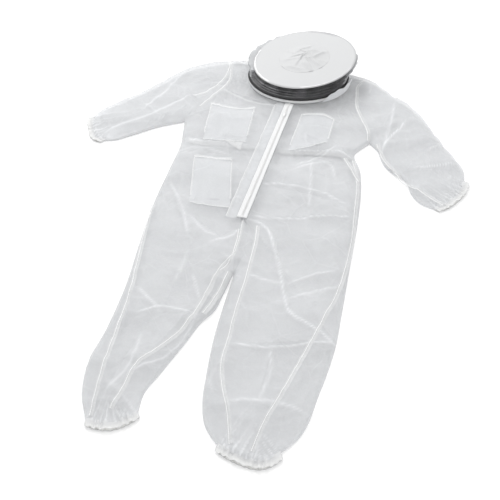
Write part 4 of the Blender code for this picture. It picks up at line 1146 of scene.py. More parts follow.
def oval(radius, height, wide, tall, count=14, power=1.0):
    turn = np.linspace(0, 2 * math.pi, count, endpoint=False)
    cos, sin = np.cos(turn), np.sin(turn)
    return [(radius + wide / 2 * np.sign(c) * abs(c) ** power, height + tall / 2 * np.sign(s) * abs(s) ** power)
            for c, s in zip(cos, sin)]


def block(name, low, high, bevel=0.0003, segments=2):
    """A bevelled block between two corners, to be shaped further."""
    bpy.ops.object.select_all(action="DESELECT")
    bpy.ops.mesh.primitive_cube_add(size=1.0)
    made = bpy.context.object
    made.name = name
    low, high = np.array(low, float), np.array(high, float)
    set_vertices(made, vertex_array(made) * (high - low) + (low + high) / 2)
    if bevel:
        edit(made)
        bpy.ops.mesh.bevel(offset=bevel, segments=segments, affect="EDGES")
        leave_edit()
    made.data.shade_smooth()
    return made


def join(name, parts):
    bpy.ops.object.select_all(action="DESELECT")
    for part in parts:
        part.select_set(True)
    bpy.context.view_layer.objects.active = parts[0]
    bpy.ops.object.join()
    parts[0].name = name
    return parts[0]


def move_points(obj, change):
    set_vertices(obj, change(vertex_array(obj)))
    return obj


def placed(obj, origin, turn=0.0):
    """Turns a piece about the upright axis and moves it from about (0, 0, 0) to origin."""
    cos, sin = math.cos(turn), math.sin(turn)
    spin = np.array(((cos, -sin, 0), (sin, cos, 0), (0, 0, 1)))
    return move_points(obj, lambda p: p @ spin.T + np.array(origin))


def slider_body(name):
    """A zip slider about its own middle, nose towards +Y: two plates, a neck and a bridge for the pull."""
    top = block("plate", (-0.0039, -0.006, 0.0020), (0.0039, 0.006, 0.0032), 0.0004)
    low = block("plate", (-0.0039, -0.006, 0.0), (0.0039, 0.006, 0.0008), 0.0003)
    neck = block("neck", (-0.0010, 0.0020, 0.0006), (0.0010, 0.0052, 0.0022), 0.0002)
    rear = block("post", (-0.0008, -0.0042, 0.0030), (0.0008, -0.0030, 0.0058), 0.0002)
    fore = block("post", (-0.0008, 0.0030, 0.0030), (0.0008, 0.0042, 0.0058), 0.0002)
    bar = block("bar", (-0.0010, -0.0044, 0.0052), (0.0010, 0.0044, 0.0062), 0.0004, 3)
    for plate in (top, low):
        move_points(plate, lambda p: p * np.column_stack([0.72 + 0.28 * np.clip((p[:, 1] + 0.006) / 0.012, 0, 1),
                                                          np.ones(len(p)), np.ones(len(p))]))
    return join(name, [top, low, neck, rear, fore, bar])


def pull_tab(name, length):
    """A pull about its pivot, hanging towards -Y: a plate with a rounded end, open where the bridge passes."""
    count = 32
    bpy.ops.object.select_all(action="DESELECT")
    bpy.ops.mesh.primitive_circle_add(vertices=count, radius=0.01, fill_type="NOTHING")
    tab = bpy.context.object
    tab.name = name
    edit(tab)
    bpy.ops.mesh.select_mode(type="EDGE")
    bpy.ops.mesh.select_all(action="SELECT")
    bpy.ops.mesh.extrude_region_move(TRANSFORM_OT_translate={"value": (0, 0, 0)})
    leave_edit()
    turn = np.linspace(0, 2 * math.pi, count, endpoint=False)
    sin, cos = np.sin(turn), np.cos(turn)
    half = 0.0025 + 0.0009 * (0.5 - 0.5 * sin)
    outer = np.column_stack([half * np.sign(cos) * np.abs(cos) ** 0.35, -length / 2 + length / 2 * sin, 0 * turn])
    hole = np.column_stack([0.0014 * np.sign(cos) * np.abs(cos) ** 0.4,
                            -0.0036 + 0.0026 * np.sign(sin) * np.abs(sin) ** 0.5, 0 * turn])
    set_vertices(tab, np.concatenate([outer, hole]))
    wall = tab.modifiers.new("wall", "SOLIDIFY")
    wall.thickness, wall.offset = 0.0010, 0.0
    apply_modifier(tab, wall)
    rounding = tab.modifiers.new("rounding", "BEVEL")
    rounding.width, rounding.segments = 0.0002, 2
    apply_modifier(tab, rounding)
    edit(tab)
    bpy.ops.mesh.normals_make_consistent(inside=False)
    leave_edit()
    tab.data.shade_smooth()
    return tab


def tooth(name, reach=0.0024, pitch=0.0015, tall=0.0028):
    """One turn of a nylon coil, lying across the tape: a flattened loop with a bulging head."""
    bpy.ops.object.select_all(action="DESELECT")
    bpy.ops.mesh.primitive_cylinder_add(vertices=8, radius=0.5, depth=1.0, rotation=(0, math.pi / 2, 0))
    made = bpy.context.object
    made.name = name
    bpy.ops.object.transform_apply(location=True, rotation=True, scale=True)
    edit(made, "DESELECT")
    bpy.ops.mesh.select_mode(type="FACE")
    leave_edit()
    for face in made.data.polygons:
        face.select = face.center.x > 0.49
    bpy.ops.object.mode_set(mode="EDIT")
    bpy.ops.mesh.inset(thickness=0.16)
    bpy.ops.transform.translate(value=(0.12, 0, 0))
    leave_edit()
    set_vertices(made, vertex_array(made) * np.array((reach, pitch * 0.72, tall)))
    made.data.shade_smooth()
    return made


def coil_row(name, count, pitch, base, step):
    """Copies of a coil turn in a row from base along step."""
    array = base.modifiers.new("turns", "ARRAY")
    array.count = count
    array.use_relative_offset, array.use_constant_offset = False, True
    array.constant_offset_displace = tuple(v * pitch for v in step)
    apply_modifier(base, array)
    base.name = name
    return base


def coil_ring(name, base, centre, count, start, angle):
    edit(base)
    bpy.ops.mesh.spin(steps=count, angle=math.radians(angle), center=(centre[0], centre[1], 0.0), axis=(0, 0, 1),
                      dupli=True)
    leave_edit()
    base.name = name
    turn = math.radians(start)
    cos, sin = math.cos(turn), math.sin(turn)
    spin = np.array(((cos, -sin), (sin, cos)))
    return move_points(base, lambda p: np.column_stack([(p[:, :2] - np.array(centre[:2])) @ spin.T + np.array(centre[:2]),
                                                        p[:, 2]]))


# ---- The cloth pieces ---------------------------------------------------------------------------

STATE = {}
SEAMS = {
    RIGHT: {
        "armhole_seam": [(-0.258, 0.269), (-0.242, 0.182), (-0.246, 0.109), (-0.273, 0.032), (-0.311, -0.011)],
        "armhole_facing_seam": [(-0.247, 0.241), (-0.223, 0.101), (-0.245, 0.019), (-0.270, -0.067)],
        "outseam": [(-0.247, -0.583), (-0.238, -0.649), (-0.222, -0.732), (-0.199, -0.847), (-0.181, -0.935),
                    (-0.171, -1.020), (-0.162, -1.099), (-0.153, -1.173), (-0.143, -1.242), (-0.135, -1.294)],
        "inseam": [(0.016, -0.641), (0.024, -0.711), (0.022, -0.779), (0.008, -0.813), (0.002, -0.889),
                   (-0.008, -0.961), (-0.027, -1.032), (-0.052, -1.086), (-0.086, -1.157), (-0.090, -1.215),
                   (-0.097, -1.272)],
        "shoulder_seam": [(-0.118, 0.282), (-0.180, 0.290), (-0.246, 0.280)],
    },
    LEFT: {
        "armhole_seam": [(0.223, 0.243), (0.207, 0.189), (0.213, 0.123), (0.225, 0.047), (0.250, -0.016),
                         (0.278, -0.081), (0.286, -0.118)],
        "outseam": [(0.258, -0.242), (0.286, -0.347), (0.300, -0.486), (0.310, -0.593), (0.312, -0.703),
                    (0.307, -0.810), (0.294, -0.890), (0.277, -0.987), (0.257, -1.083), (0.241, -1.158),
                    (0.225, -1.228), (0.216, -1.301)],
        "inseam": [(0.059, -0.617), (0.069, -0.678), (0.074, -0.738), (0.080, -0.832), (0.083, -0.921),
                   (0.091, -1.018), (0.099, -1.108), (0.117, -1.162), (0.145, -1.223), (0.169, -1.293)],
        "underarm_seam": [(0.315, -0.130), (0.353, -0.219), (0.398, -0.281), (0.430, -0.313), (0.476, -0.351),
                          (0.533, -0.384)],
        "shoulder_seam": [(0.126, 0.278), (0.170, 0.282), (0.216, 0.270)],
    },
}
TURNED_EDGE = [(0.030, -0.800), (0.028, -0.850), (0.022, -0.905), (0.010, -0.955)]
GUSSET_SEAM = [(0.015, -0.605), (0.025, -0.680), (0.025, -0.750), (0.010, -0.785), (0.002, -0.850), (-0.003, -0.905)]
POCKETS = {
    "right_chest_pocket": [(-0.238, -0.036), (-0.149, -0.055), (-0.095, -0.036), (-0.074, -0.236), (-0.204, -0.250)],
    "left_chest_pocket": [(0.062, -0.040), (0.128, -0.020), (0.166, -0.042), (0.167, -0.180), (0.062, -0.248)],
    "right_hip_pocket": [(-0.200, -0.345), (-0.145, -0.338), (-0.090, -0.334), (-0.034, -0.557), (-0.146, -0.567)],
}
SIDE_WELT = [(0.233, -0.250), (0.261, -0.296), (0.290, -0.340)]
FOLDED_CORNER = [(-0.144, -0.241), (-0.078, -0.283), (-0.079, -0.246)]
WAIST_LINE = [(-0.258, -0.240), (-0.205, -0.246), (-0.150, -0.232), (-0.085, -0.236), (-0.030, -0.226),
              (0.060, -0.230), (0.140, -0.214), (0.200, -0.206), (0.246, -0.214)]


def make_front():
    """Front panels, gusset and the sleeves' front halves, settled together."""
    grids = plan_grids()
    settled, places = settle_front(grids)
    settled = limited(settled)
    STATE.update(grids=grids, front=settled, places=places)
    made = []
    for side in (RIGHT, LEFT):
        panel = make_sheet(side + "_front_cloth", [(front_points(settled, places, ("front", side)), True)])
        press_creases(panel)
        made.append(panel)
    gusset = make_sheet("crotch_gusset_cloth", [(front_points(settled, places, ("gusset", None)), True)])
    made.append(gusset)
    STATE["panels"] = made
    return made


def make_sleeves():
    made = []
    for side in (RIGHT, LEFT):
        grid = STATE["grids"][("sleeve", side)]
        top = front_points(STATE["front"], STATE["places"], ("sleeve", side))
        z = with_end(back_height(grid.reshape(-1, 2)), grid, "cuff", side).reshape(grid.shape[:2])
        low = np.dstack([grid, z])
        low[0, :, 2] = np.minimum(low[0, :, 2], top[0, :, 2])
        low[:, 0, 2], low[:, -1, 2] = top[:, 0, 2], top[:, -1, 2]
        sleeve = make_sheet(side + "_sleeve_cloth", [(top, True), (low, False)])
        press_creases(sleeve)
        made.append(sleeve)
    STATE["sleeves"] = made
    return made


def make_backs():
    made = []
    for side in (RIGHT, LEFT):
        grid = back_grid(side)
        z = with_end(back_height(grid.reshape(-1, 2)), grid, "ankle", side).reshape(grid.shape[:2])
        made.append(make_sheet(side + "_back_cloth", [(np.dstack([grid, z]), False)]))
    return made


def end_outward(line, kind):
    """Unit plan directions out of a sleeve or leg end, across its end line."""
    way = np.gradient(line, axis=0)
    way = way / np.linalg.norm(way, axis=1)[:, None]
    out = np.stack([way[:, 1], -way[:, 0]], axis=1)
    towards = line.mean(axis=0) - np.array((0.0, -0.55 if kind == "ankle" else 0.1))
    if (out @ towards).sum() < 0:
        out = -out
    general = (line[-1] - line[0])
    general = np.array((general[1], -general[0])) / np.linalg.norm(general)
    if (out @ general).sum() < 0:
        general = -general
    out = 0.45 * out + 0.55 * general[None]
    return out / np.linalg.norm(out, axis=1)[:, None]


END_LINE = {"cuff": CUFF, "ankle": HEM}
GATHER_ROWS = [(-0.004, 1.04), (-0.001, 1.0), (0.002, 0.92), (0.005, 0.84), (0.008, 0.80), (0.011, 0.80), (0.013, 0.86),
               (0.0155, 0.92)]


def gathered_ring(kind, side, rows, inset=0.0, count=72):
    """A loop round a sleeve or leg end, rows going outwards: a grid that closes on itself."""
    line = curve(END_LINE[kind][side], count)
    out = end_outward(line, kind)
    ripples, seed = END_RIPPLES[(kind, side)]
    front, back = end_lift(count, ripples, seed)
    u = np.linspace(0, 1, count + 1)
    fine = np.sin(2 * np.pi * (1.7 * ripples * u + 0.2 * np.sin(9 * u + seed)) + seed)
    grid = []
    for away, tall in rows:
        frill = np.clip((away - 0.008) / 0.0075, 0, 1)
        plan = line + out * (away + 0.0013 * frill * fine)[:, None]
        middle = END_HEIGHT + (front - END_HEIGHT) * tall + 0.0010 * frill * fine * np.sqrt(np.clip(1 - (2 * u - 1) ** 2, 0, 1))
        under = END_HEIGHT + (back - END_HEIGHT) * min(tall, 1.0) + 0.0009 * frill * (1 + fine)
        top_side = np.column_stack([plan, middle - inset])
        low_side = np.column_stack([plan, np.maximum(under + inset, 0.0006)])
        grid.append(np.concatenate([top_side, low_side[::-1][1:-1]]))
    return np.array(grid)


def closed_strip(name, grid):
    """A sheet from a grid whose rows close on themselves, facing outwards."""
    rows, cols = grid.shape[:2]
    faces = []
    for i in range(rows - 1):
        for j in range(cols):
            k = (j + 1) % cols
            faces.append((i * cols + j, i * cols + k, (i + 1) * cols + k, (i + 1) * cols + j))
    flat = grid.reshape(-1, 3)
    a, b, c, d = faces[cols // 4]
    if np.cross(flat[c] - flat[a], flat[d] - flat[b])[2] < 0:
        faces = [face[::-1] for face in faces]
    made = add_mesh(name, flat, faces)
    run = np.concatenate([[0], np.cumsum(np.linalg.norm(np.diff(grid[0], axis=0), axis=1))])
    uv = np.stack([np.repeat(run[None], rows, 0), np.repeat(np.linspace(0, 1, rows)[:, None], cols, 1)], axis=2)
    map_points(made, uv)
    made.data.shade_smooth()
    return made


def pocket_grid(outline, rows=14, cols=12):
    """Pocket plan points between its top edge (first three corners) and its lower two corners."""
    top = curve(outline[:3], cols)
    bottom = straight(outline[4], outline[3], cols)
    return patch(top, bottom, straight(top[0], bottom[0], rows), straight(top[-1], bottom[-1], rows))


def make_pocket(name, outline):
    grid = pocket_grid(outline)
    z = on_front(grid.reshape(-1, 2)).reshape(grid.shape[:2])
    v = np.linspace(0, 1, grid.shape[0])[:, None]
    u = np.linspace(0, 1, grid.shape[1])[None, :]
    open_top = 0.0022 * (1 - v) ** 2 * np.sin(np.pi * u) + 0.0010
    made = lay_grid(name + "_cloth", np.dstack([grid, z + open_top]))
    subdivide(made)
    top = lay_strip(name + "_hem", [tuple(p) for p in grid[0, ::4]], 0.012, lift=0.0034, crown=0.0008,
                    offset=-0.005)
    edges = []
    for label, line in (("side_a", grid[:, 0]), ("side_b", grid[:, -1]), ("base", grid[-1])):
        points = [tuple(p) for p in line[:: max(1, (len(line) - 1) // 3)]]
        edges.append(lay_strip(name + "_edge_" + label, points, 0.006, lift=0.0018, crown=0.0003, across=2))
    return made, [top, *edges]

# ---- Hat --------------------------------------------------------------------------------------

HAT_MIDDLE = (0.018, 0.200, 0.095)
HAT_RADIUS = 0.1735
HAT_REAR_UP, HAT_LEFT_UP = math.radians(5.9), math.radians(5.4)
HOOP_PLACE = (COLLAR_X + PLAN_X, COLLAR_Y + PLAN_Y)


def hat_matrix():
    middle = Vector((HAT_MIDDLE[0] + PLAN_X, HAT_MIDDLE[1] + PLAN_Y, HAT_MIDDLE[2]))
    return Matrix.Translation(middle) @ Matrix.Rotation(HAT_REAR_UP, 4, "X") @ Matrix.Rotation(-HAT_LEFT_UP, 4, "Y")


def to_hat(points):
    turned = np.array(hat_matrix())
    return np.asarray(points) @ turned[:3, :3].T + turned[:3, 3]


def disc_height(x, y):
    """Height of the hat's middle plane at plan points."""
    return HAT_MIDDLE[2] + math.tan(HAT_LEFT_UP) * (x - HAT_MIDDLE[0]) + math.tan(HAT_REAR_UP) * (y - HAT_MIDDLE[1])


PLEATS = 7
PLEAT_MIDDLE = (0.010, 0.002)
PLEAT_TWIST = 0.012
# Long soft folds in the crown cloth: two ends, height and width
CROWN_FOLDS = [
    ((0.017, 0.079), (-0.036, 0.015), 0.0032, 0.009), ((-0.010, 0.031), (0.046, 0.038), 0.0030, 0.008),
    ((0.067, 0.038), (0.030, -0.008), 0.0032, 0.009), ((0.006, 0.020), (-0.013, -0.015), 0.0026, 0.007),
    ((0.007, -0.005), (0.066, -0.046), 0.0034, 0.009), ((0.000, -0.031), (0.044, -0.079), 0.0032, 0.009),
    ((-0.057, -0.051), (0.011, -0.071), 0.0028, 0.009), ((-0.036, 0.015), (-0.075, 0.045), 0.0022, 0.010),
    ((-0.013, -0.015), (-0.070, -0.020), 0.0022, 0.010),
]


def crown_relief(points):
    """Height of the crown's pleats and folds at points of the disc."""
    x, y = points[:, 0] - PLEAT_MIDDLE[0], points[:, 1] - PLEAT_MIDDLE[1]
    r = np.maximum(np.hypot(x, y), 1e-5)
    turn = np.arctan2(y, x) + np.arcsin(np.clip(PLEAT_TWIST / r, -1, 1))
    share = (turn / (2 * math.pi) * PLEATS) % 1.0
    saw = np.where(share < 0.86, share / 0.86, (1 - share) / 0.14)
    reach = np.clip(r / 0.018, 0, 1) * np.clip((0.080 - r) / 0.030, 0, 1)
    total = 0.0042 * saw * reach
    for a, b, height, width in CROWN_FOLDS:
        line = np.array([a, b])
        away = distance_to(points[:, :2], [line])
        ends = np.minimum(np.linalg.norm(points[:, :2] - line[0], axis=1),
                          np.linalg.norm(points[:, :2] - line[1], axis=1))
        side = (points[:, 0] - a[0]) * (b[1] - a[1]) - (points[:, 1] - a[1]) * (b[0] - a[0])
        slope = np.where(side > 0, 1.0, 0.45)
        total += 1.5 * height * np.clip(ends / 0.02 + 0.35, 0, 1) * np.exp(-np.abs(away / (width * slope)) ** 1.4)
    return total


def make_brim():
    """The brim: a thin disc whose cloth waves a little between its rows of stitching."""
    radii = np.linspace(0.0, HAT_RADIUS - 0.0022, 34)
    profile = [(r, 0.0013) for r in radii] + [(r, -0.0013) for r in radii[::-1]]
    brim = spun("hat_brim_cloth", profile, (0, 0), steps=144)

    def shape(p):
        r, turn = np.hypot(p[:, 0], p[:, 1]), np.arctan2(p[:, 1], p[:, 0])
        wave = 0.0009 * np.sin(3 * turn + 0.7) + 0.0005 * np.sin(7 * turn + 2.0) + 0.0003 * np.sin(13 * turn + 14 * r)
        stitch = sum(-0.0004 * np.exp(-((r - row) / 0.0012) ** 2) for row in np.arange(0.102, 0.166, 0.009))
        z = p[:, 2] + wave * np.clip((r - 0.09) / 0.08, 0, 1) + np.where(p[:, 2] > 0, stitch, -stitch)
        return to_hat(np.column_stack([p[:, :2], z]))

    flat = vertex_array(brim)[:, :2].copy()
    move_points(brim, shape)
    map_points(brim, flat)
    return brim


def make_crown():
    """The crown's cloth, gathered towards its middle in pleats that turn one way."""
    outer = 0.085
    radii = np.linspace(0.0, outer, 46)
    rise_up = [(r, 0.0012 + 0.0090 * (1 - (r / outer) ** 2) ** 1.4) for r in radii]
    profile = rise_up + [(r, -0.0002) for r in radii[::-1]]
    crown = spun("hat_crown_cloth", profile, (0, 0), steps=168)
    flat = vertex_array(crown)[:, :2].copy()

    def shape(p):
        top = p[:, 2] > 0.0011
        z = p[:, 2] + np.where(top, crown_relief(p), 0.0)
        return to_hat(np.column_stack([p[:, :2], z]))

    move_points(crown, shape)
    map_points(crown, flat)
    return crown


def make_hat_ring(name, radius, height, wide, tall, power=1.0, count=14):
    ring = spun(name, oval(radius, height, wide, tall, count, power), (0, 0), steps=192)
    ring_uv(ring, (0, 0), radius, tall)
    return move_points(ring, to_hat)


# ---- Veil ---------------------------------------------------------------------------------------

MESH_ARC = (204.0, 346.0)
VEIL_LOW = 0.0522


# The veil is cut for the raised hat, and with the hat down it lies in folds tucked inside the hoop
VEIL_FOLDS = 4
VEIL_TUCK = 0.033
# Where the cloth of the veil bulges past the brim: angle, spread in degrees, and how far
VEIL_BULGES = [(168.0, 22.0, 0.016), (128.0, 26.0, 0.012), (80.0, 26.0, 0.004), (12.0, 26.0, 0.006)]


def hat_edge(angle, radius):
    """Plan points on the hat's disc at a radius, for angles about its middle."""
    turn = np.radians(angle)
    return np.stack([HAT_MIDDLE[0] + radius * np.cos(turn), HAT_MIDDLE[1] + radius * np.sin(turn)], axis=1)


def make_net():
    """The front of the veil: black net folded down on itself between the hoop and the brim."""
    count, rows = 220, 72
    angle = np.linspace(*MESH_ARC, count + 1)
    turn = np.radians(angle)
    low = np.stack([COLLAR_X + 0.1655 * np.cos(turn), COLLAR_Y + 0.1655 * np.sin(turn)], axis=1)
    high = hat_edge(angle, 0.1640)
    top = disc_height(high[:, 0], high[:, 1]) - 0.0030
    near_end = np.clip(np.minimum(angle - MESH_ARC[0], MESH_ARC[1] - angle) / 14.0, 0, 1)
    grid = []
    for k in range(rows + 1):
        v = k / rows
        tuck = VEIL_TUCK * math.sin(math.pi * VEIL_FOLDS * v) ** 2
        drift = 0.35 * np.sin(turn * 9 + 1.1) + 0.25 * np.sin(turn * 17 + 0.4 + 3 * v) + 0.2 * np.sin(turn * 31 + 5 * v)
        out = 0.0030 * drift * math.sin(math.pi * v) * (0.35 + 0.65 * near_end)
        out = out + 0.0030 * math.sin(math.pi * v) - tuck
        plan = low * (1 - v) + high * v
        plan = plan + np.stack([np.cos(turn), np.sin(turn)], axis=1) * out[:, None]
        share = v
        z = VEIL_LOW + (top - VEIL_LOW) * share + 0.0016 * drift * math.sin(math.pi * v)
        grid.append(np.column_stack([plan, z]))
    grid = np.array(grid)
    net = lay_grid("front_net", grid)
    run = np.radians(angle - angle[0]) * 0.168
    climb = np.linspace(0, raised_height("front_mesh"), rows + 1)
    uv = np.stack([np.repeat(run[None], rows + 1, 0), np.repeat(climb[:, None], count + 1, 1)], axis=2)
    net.data.uv_layers.remove(net.data.uv_layers[0])
    map_points(net, uv)
    edge = grid[-9:].copy()
    edge[:, :, :2] = edge[-1:, :, :2]
    edge[:, :, :2] += (np.stack([np.cos(turn), np.sin(turn)], axis=1) * 0.0016)[None]
    binding = lay_grid("net_top_binding", edge, uv[-9:] * np.array((1.0, 6.0)))
    return net, binding


def make_rear_veil():
    """The cloth at the back and sides of the veil, bunched so that it bulges past the brim."""
    count, rows = 260, 72
    angle = np.linspace(MESH_ARC[1] - 360.0, MESH_ARC[0], count + 1)
    turn = np.radians(angle)
    low = np.stack([COLLAR_X + 0.1660 * np.cos(turn), COLLAR_Y + 0.1660 * np.sin(turn)], axis=1)
    high = hat_edge(angle, 0.1650)
    top = disc_height(high[:, 0], high[:, 1]) - 0.0028
    bulge = sum(size * np.exp(-((angle - at) / wide) ** 2) for at, wide, size in VEIL_BULGES)
    grid = []
    for k in range(rows + 1):
        v = k / rows
        belly = math.sin(math.pi * v ** 1.7) ** 0.8
        pleat = np.sin(turn * 23 + 1.3 * np.sin(turn * 5) + 2.0 * v) + 0.6 * np.sin(turn * 41 + 3 * v)
        tuck = VEIL_TUCK * math.sin(math.pi * VEIL_FOLDS * v) ** 2
        out = belly * (0.012 + bulge + 0.0016 * pleat) - tuck
        plan = low * (1 - v) + high * v + np.stack([np.cos(turn), np.sin(turn)], axis=1) * out[:, None]
        z = VEIL_LOW + (top - VEIL_LOW) * math.sin(math.pi / 2 * v) ** 0.9 + 0.0010 * pleat * belly
        grid.append(np.column_stack([plan, z]))
    veil = lay_grid("rear_veil_cloth", np.array(grid)[::-1])
    return veil


def make_collar():
    """The collar: a band of cloth round the neck that puckers where it is sewn to the hoop's zip."""
    count, rows = 240, 12
    angle = np.linspace(0, 360, count, endpoint=False)
    turn = np.radians(angle)
    low = np.minimum(neck_height(angle) + 0.0004, 0.0302)
    grid = []
    for k in range(rows + 1):
        v = k / rows
        pucker = np.sin(turn * 17 + 1.7 * np.sin(turn * 6)) * 0.0005 + np.sin(turn * 41) * 0.0002
        out = 0.1672 + math.sin(math.pi * v) * (0.0006 + pucker) - 0.0040 * v
        z = low * (1 - v) + 0.0404 * v
        grid.append(np.column_stack([COLLAR_X + out * np.cos(turn), COLLAR_Y + out * np.sin(turn), z]))
    return closed_strip("collar_cloth", np.array(grid)[::-1])


def make_collar_edge():
    """The collar's free edge, which stands up outside the hoop beside the net."""
    count, rows = 60, 8
    angle = np.linspace(302, 366, count + 1)
    turn = np.radians(angle)
    fade = np.clip(np.minimum((angle - 302) / 16.0, (366 - angle) / 9.0), 0, 1)
    fade = fade * fade * (3 - 2 * fade)
    grid = []
    for k in range(rows + 1):
        v = k / rows
        ripple = np.sin(turn * 26 + 0.8) * 0.0012 * v
        out = 0.1735 + (0.0040 + 0.0060 * v) * fade + ripple
        z = 0.0330 + (0.0300 * fade + 0.0020 * np.sin(turn * 19)) * v * fade
        grid.append(np.column_stack([COLLAR_X + out * np.cos(turn), COLLAR_Y + out * np.sin(turn), z]))
    return lay_grid("collar_edge_cloth", np.array(grid))


# ---- Sizes and colours --------------------------------------------------------------------------


class BeeSuitLook(bpy.types.PropertyGroup):
    cloth_colour: bpy.props.FloatVectorProperty(
        name="Cloth colour", description="Colour of the suit's thin cloth", subtype="COLOR", size=3, min=0, max=1,
        default=(0.665, 0.675, 0.690))
    cloth_cover: bpy.props.FloatProperty(
        name="Cloth cover", description="How much of the thin cloth is fibre and not gap", subtype="FACTOR",
        min=0.1, max=1.0, default=0.49)
    trim_colour: bpy.props.FloatVectorProperty(
        name="Trim colour", description="Colour of seams, casings and hems", subtype="COLOR", size=3, min=0, max=1,
        default=(0.77, 0.775, 0.78))
    seam_cover: bpy.props.FloatProperty(
        name="Seam cover", description="How much of a seam's layers is fibre", subtype="FACTOR", min=0.1, max=1.0,
        default=0.50)
    hat_colour: bpy.props.FloatVectorProperty(
        name="Hat colour", description="Colour of the hat's cotton", subtype="COLOR", size=3, min=0, max=1,
        default=(0.575, 0.580, 0.585))
    net_colour: bpy.props.FloatVectorProperty(
        name="Net colour", description="Colour of the veil's front net", subtype="COLOR", size=3, min=0, max=1,
        default=(0.085, 0.085, 0.088))


class BeeSuitSizes(bpy.types.PropertyGroup):
    seam_width: bpy.props.FloatProperty(
        name="Seam width", description="Width of a sewn-down seam", unit="LENGTH", subtype="DISTANCE", min=0.003,
        max=0.03, default=0.0115)
    tooth_pitch: bpy.props.FloatProperty(
        name="Coil pitch", description="Distance from one turn of a zip's coil to the next", unit="LENGTH",
        subtype="DISTANCE", min=0.001, max=0.004, default=0.0015)
    lens: bpy.props.FloatProperty(
        name="Lens", description="Focal length of the camera", subtype="DISTANCE_CAMERA", min=10, max=300,
        default=57.04)


def look():
    return bpy.context.scene.bee_suit_look


def sizes():
    return bpy.context.scene.bee_suit_sizes


# ---- Operators ----------------------------------------------------------------------------------


class BEESUIT_OT_finishes(bpy.types.Operator):
    """Makes the cloth, tape, nylon, enamel, net and hat finishes"""
    bl_idname = "beesuit.finishes"
    bl_label = "Finishes"

    def execute(self, context):
        make_finishes(look())
        return {"FINISHED"}


class BEESUIT_OT_front(bpy.types.Operator):
    """Settles the front of the suit over the air inside it, and makes the sleeves"""
    bl_idname = "beesuit.front"
    bl_label = "Front and sleeves"

    def execute(self, context):
        right, left, gusset = make_front()
        sleeves = make_sleeves()
        for panel in (right, left, gusset, *sleeves):
            map_flat(panel)
            panel.data.shade_smooth()
        remember_front([right, left, gusset, *sleeves])
        finish(right, "suit", FINISHES["front"], ["right_front_panel"])
        finish(left, "suit", FINISHES["front"], ["left_front_panel"])
        finish(gusset, "suit", FINISHES["front"], ["crotch_gusset"])
        for side, sleeve in zip((RIGHT, LEFT), sleeves):
            finish(sleeve, "suit", FINISHES["front"], [side + "_sleeve"])
        return {"FINISHED"}


class BEESUIT_OT_back(bpy.types.Operator):
    """Makes the back of the suit, lying on the floor"""
    bl_idname = "beesuit.back"
    bl_label = "Back"

    def execute(self, context):
        for side, panel in zip((RIGHT, LEFT), make_backs()):
            map_flat(panel)
            panel.data.shade_smooth()
            finish(panel, "suit", FINISHES["back"], [side + "_back_panel"])
            back_grid(side)
        return {"FINISHED"}


class BEESUIT_OT_ends(bpy.types.Operator):
    """Makes the gathered casings and elastics at the wrists and ankles"""
    bl_idname = "beesuit.ends"
    bl_label = "Cuffs and ankles"

    def execute(self, context):
        for kind in ("cuff", "ankle"):
            for side in (RIGHT, LEFT):
                casing = closed_strip(f"{side}_{kind}_gathers", gathered_ring(kind, side, GATHER_ROWS))
                finish(casing, "suit", FINISHES["casing"], [f"{side}_{kind}_casing"])
                inner = [(0.0055, 0.80), (0.0080, 0.74), (0.0110, 0.72), (0.0140, 0.76)]
                elastic = closed_strip(f"{side}_{kind}_elastic_band", gathered_ring(kind, side, inner, inset=0.0006))
                finish(elastic, "suit", FINISHES["elastic"], [f"{side}_{kind}_elastic"])
                node = side + "_" + kind
                band_cut(node + "_casing", CLOTH_WALL, CASING_DEPTH, GATHER_FULLNESS)
                band_cut(node + "_elastic", TRIM_WALL, ELASTIC_DEPTH, 1 / ELASTIC_STRETCH)
        return {"FINISHED"}


class BEESUIT_OT_seams(bpy.types.Operator):
    bl_idname = "beesuit.seams"
    bl_label = "Seams"

    def execute(self, context):
        width = sizes().seam_width
        for side in (RIGHT, LEFT):
            sewn = {"panel": [], "sleeve": []}
            for name, line in SEAMS[side].items():
                seam = lay_strip(f"{side}_{name}", line, width)
                finish(seam, "suit", FINISHES["seam"])
                sewn["sleeve" if name == "underarm_seam" else "panel"].append(seam)
            if side == RIGHT:
                for name, line, wide in (("right_turned_edge", TURNED_EDGE, 0.014), ("gusset_seam", GUSSET_SEAM, 0.007)):
                    seam = lay_strip(name, line, wide, lift=0.0012)
                    finish(seam, "suit", FINISHES["seam"])
                    sewn["panel"].append(seam)
        return {"FINISHED"}


class BEESUIT_OT_pockets(bpy.types.Operator):
    """Sews the pockets on the front, with their hems and edges"""
    bl_idname = "beesuit.pockets"
    bl_label = "Pockets"

    def execute(self, context):
        for name, outline in POCKETS.items():
            pocket, parts = make_pocket(name, outline)
            map_flat_again(pocket)
            finish(pocket, "suit", FINISHES["pocket"], [name])
            if name == "right_chest_pocket":
                parts.append(folded_corner())
            for part in parts:
                finish(part, "suit", FINISHES["seam"])
        welt = lay_strip("side_pocket_opening", SIDE_WELT, WELT_WIDTH, lift=0.0014, crown=0.0012, step=0.004)
        finish(welt, "suit", FINISHES["seam"], ["left_side_pocket_welt"])
        return {"FINISHED"}


def map_flat_again(obj):
    while obj.data.uv_layers:
        obj.data.uv_layers.remove(obj.data.uv_layers[0])
    map_flat(obj)


def folded_corner():
    """The lower corner of the chest pocket, folded over."""
    a, b, c = (np.array(p) for p in FOLDED_CORNER)
    grid = patch(straight(a, c, 8), straight(a, b, 8), straight(a, a, 4), straight(c, b, 4))
    z = on_front(grid.reshape(-1, 2)).reshape(grid.shape[:2]) + 0.0026
    return lay_grid("right_chest_pocket_fold", np.dstack([grid, z]))


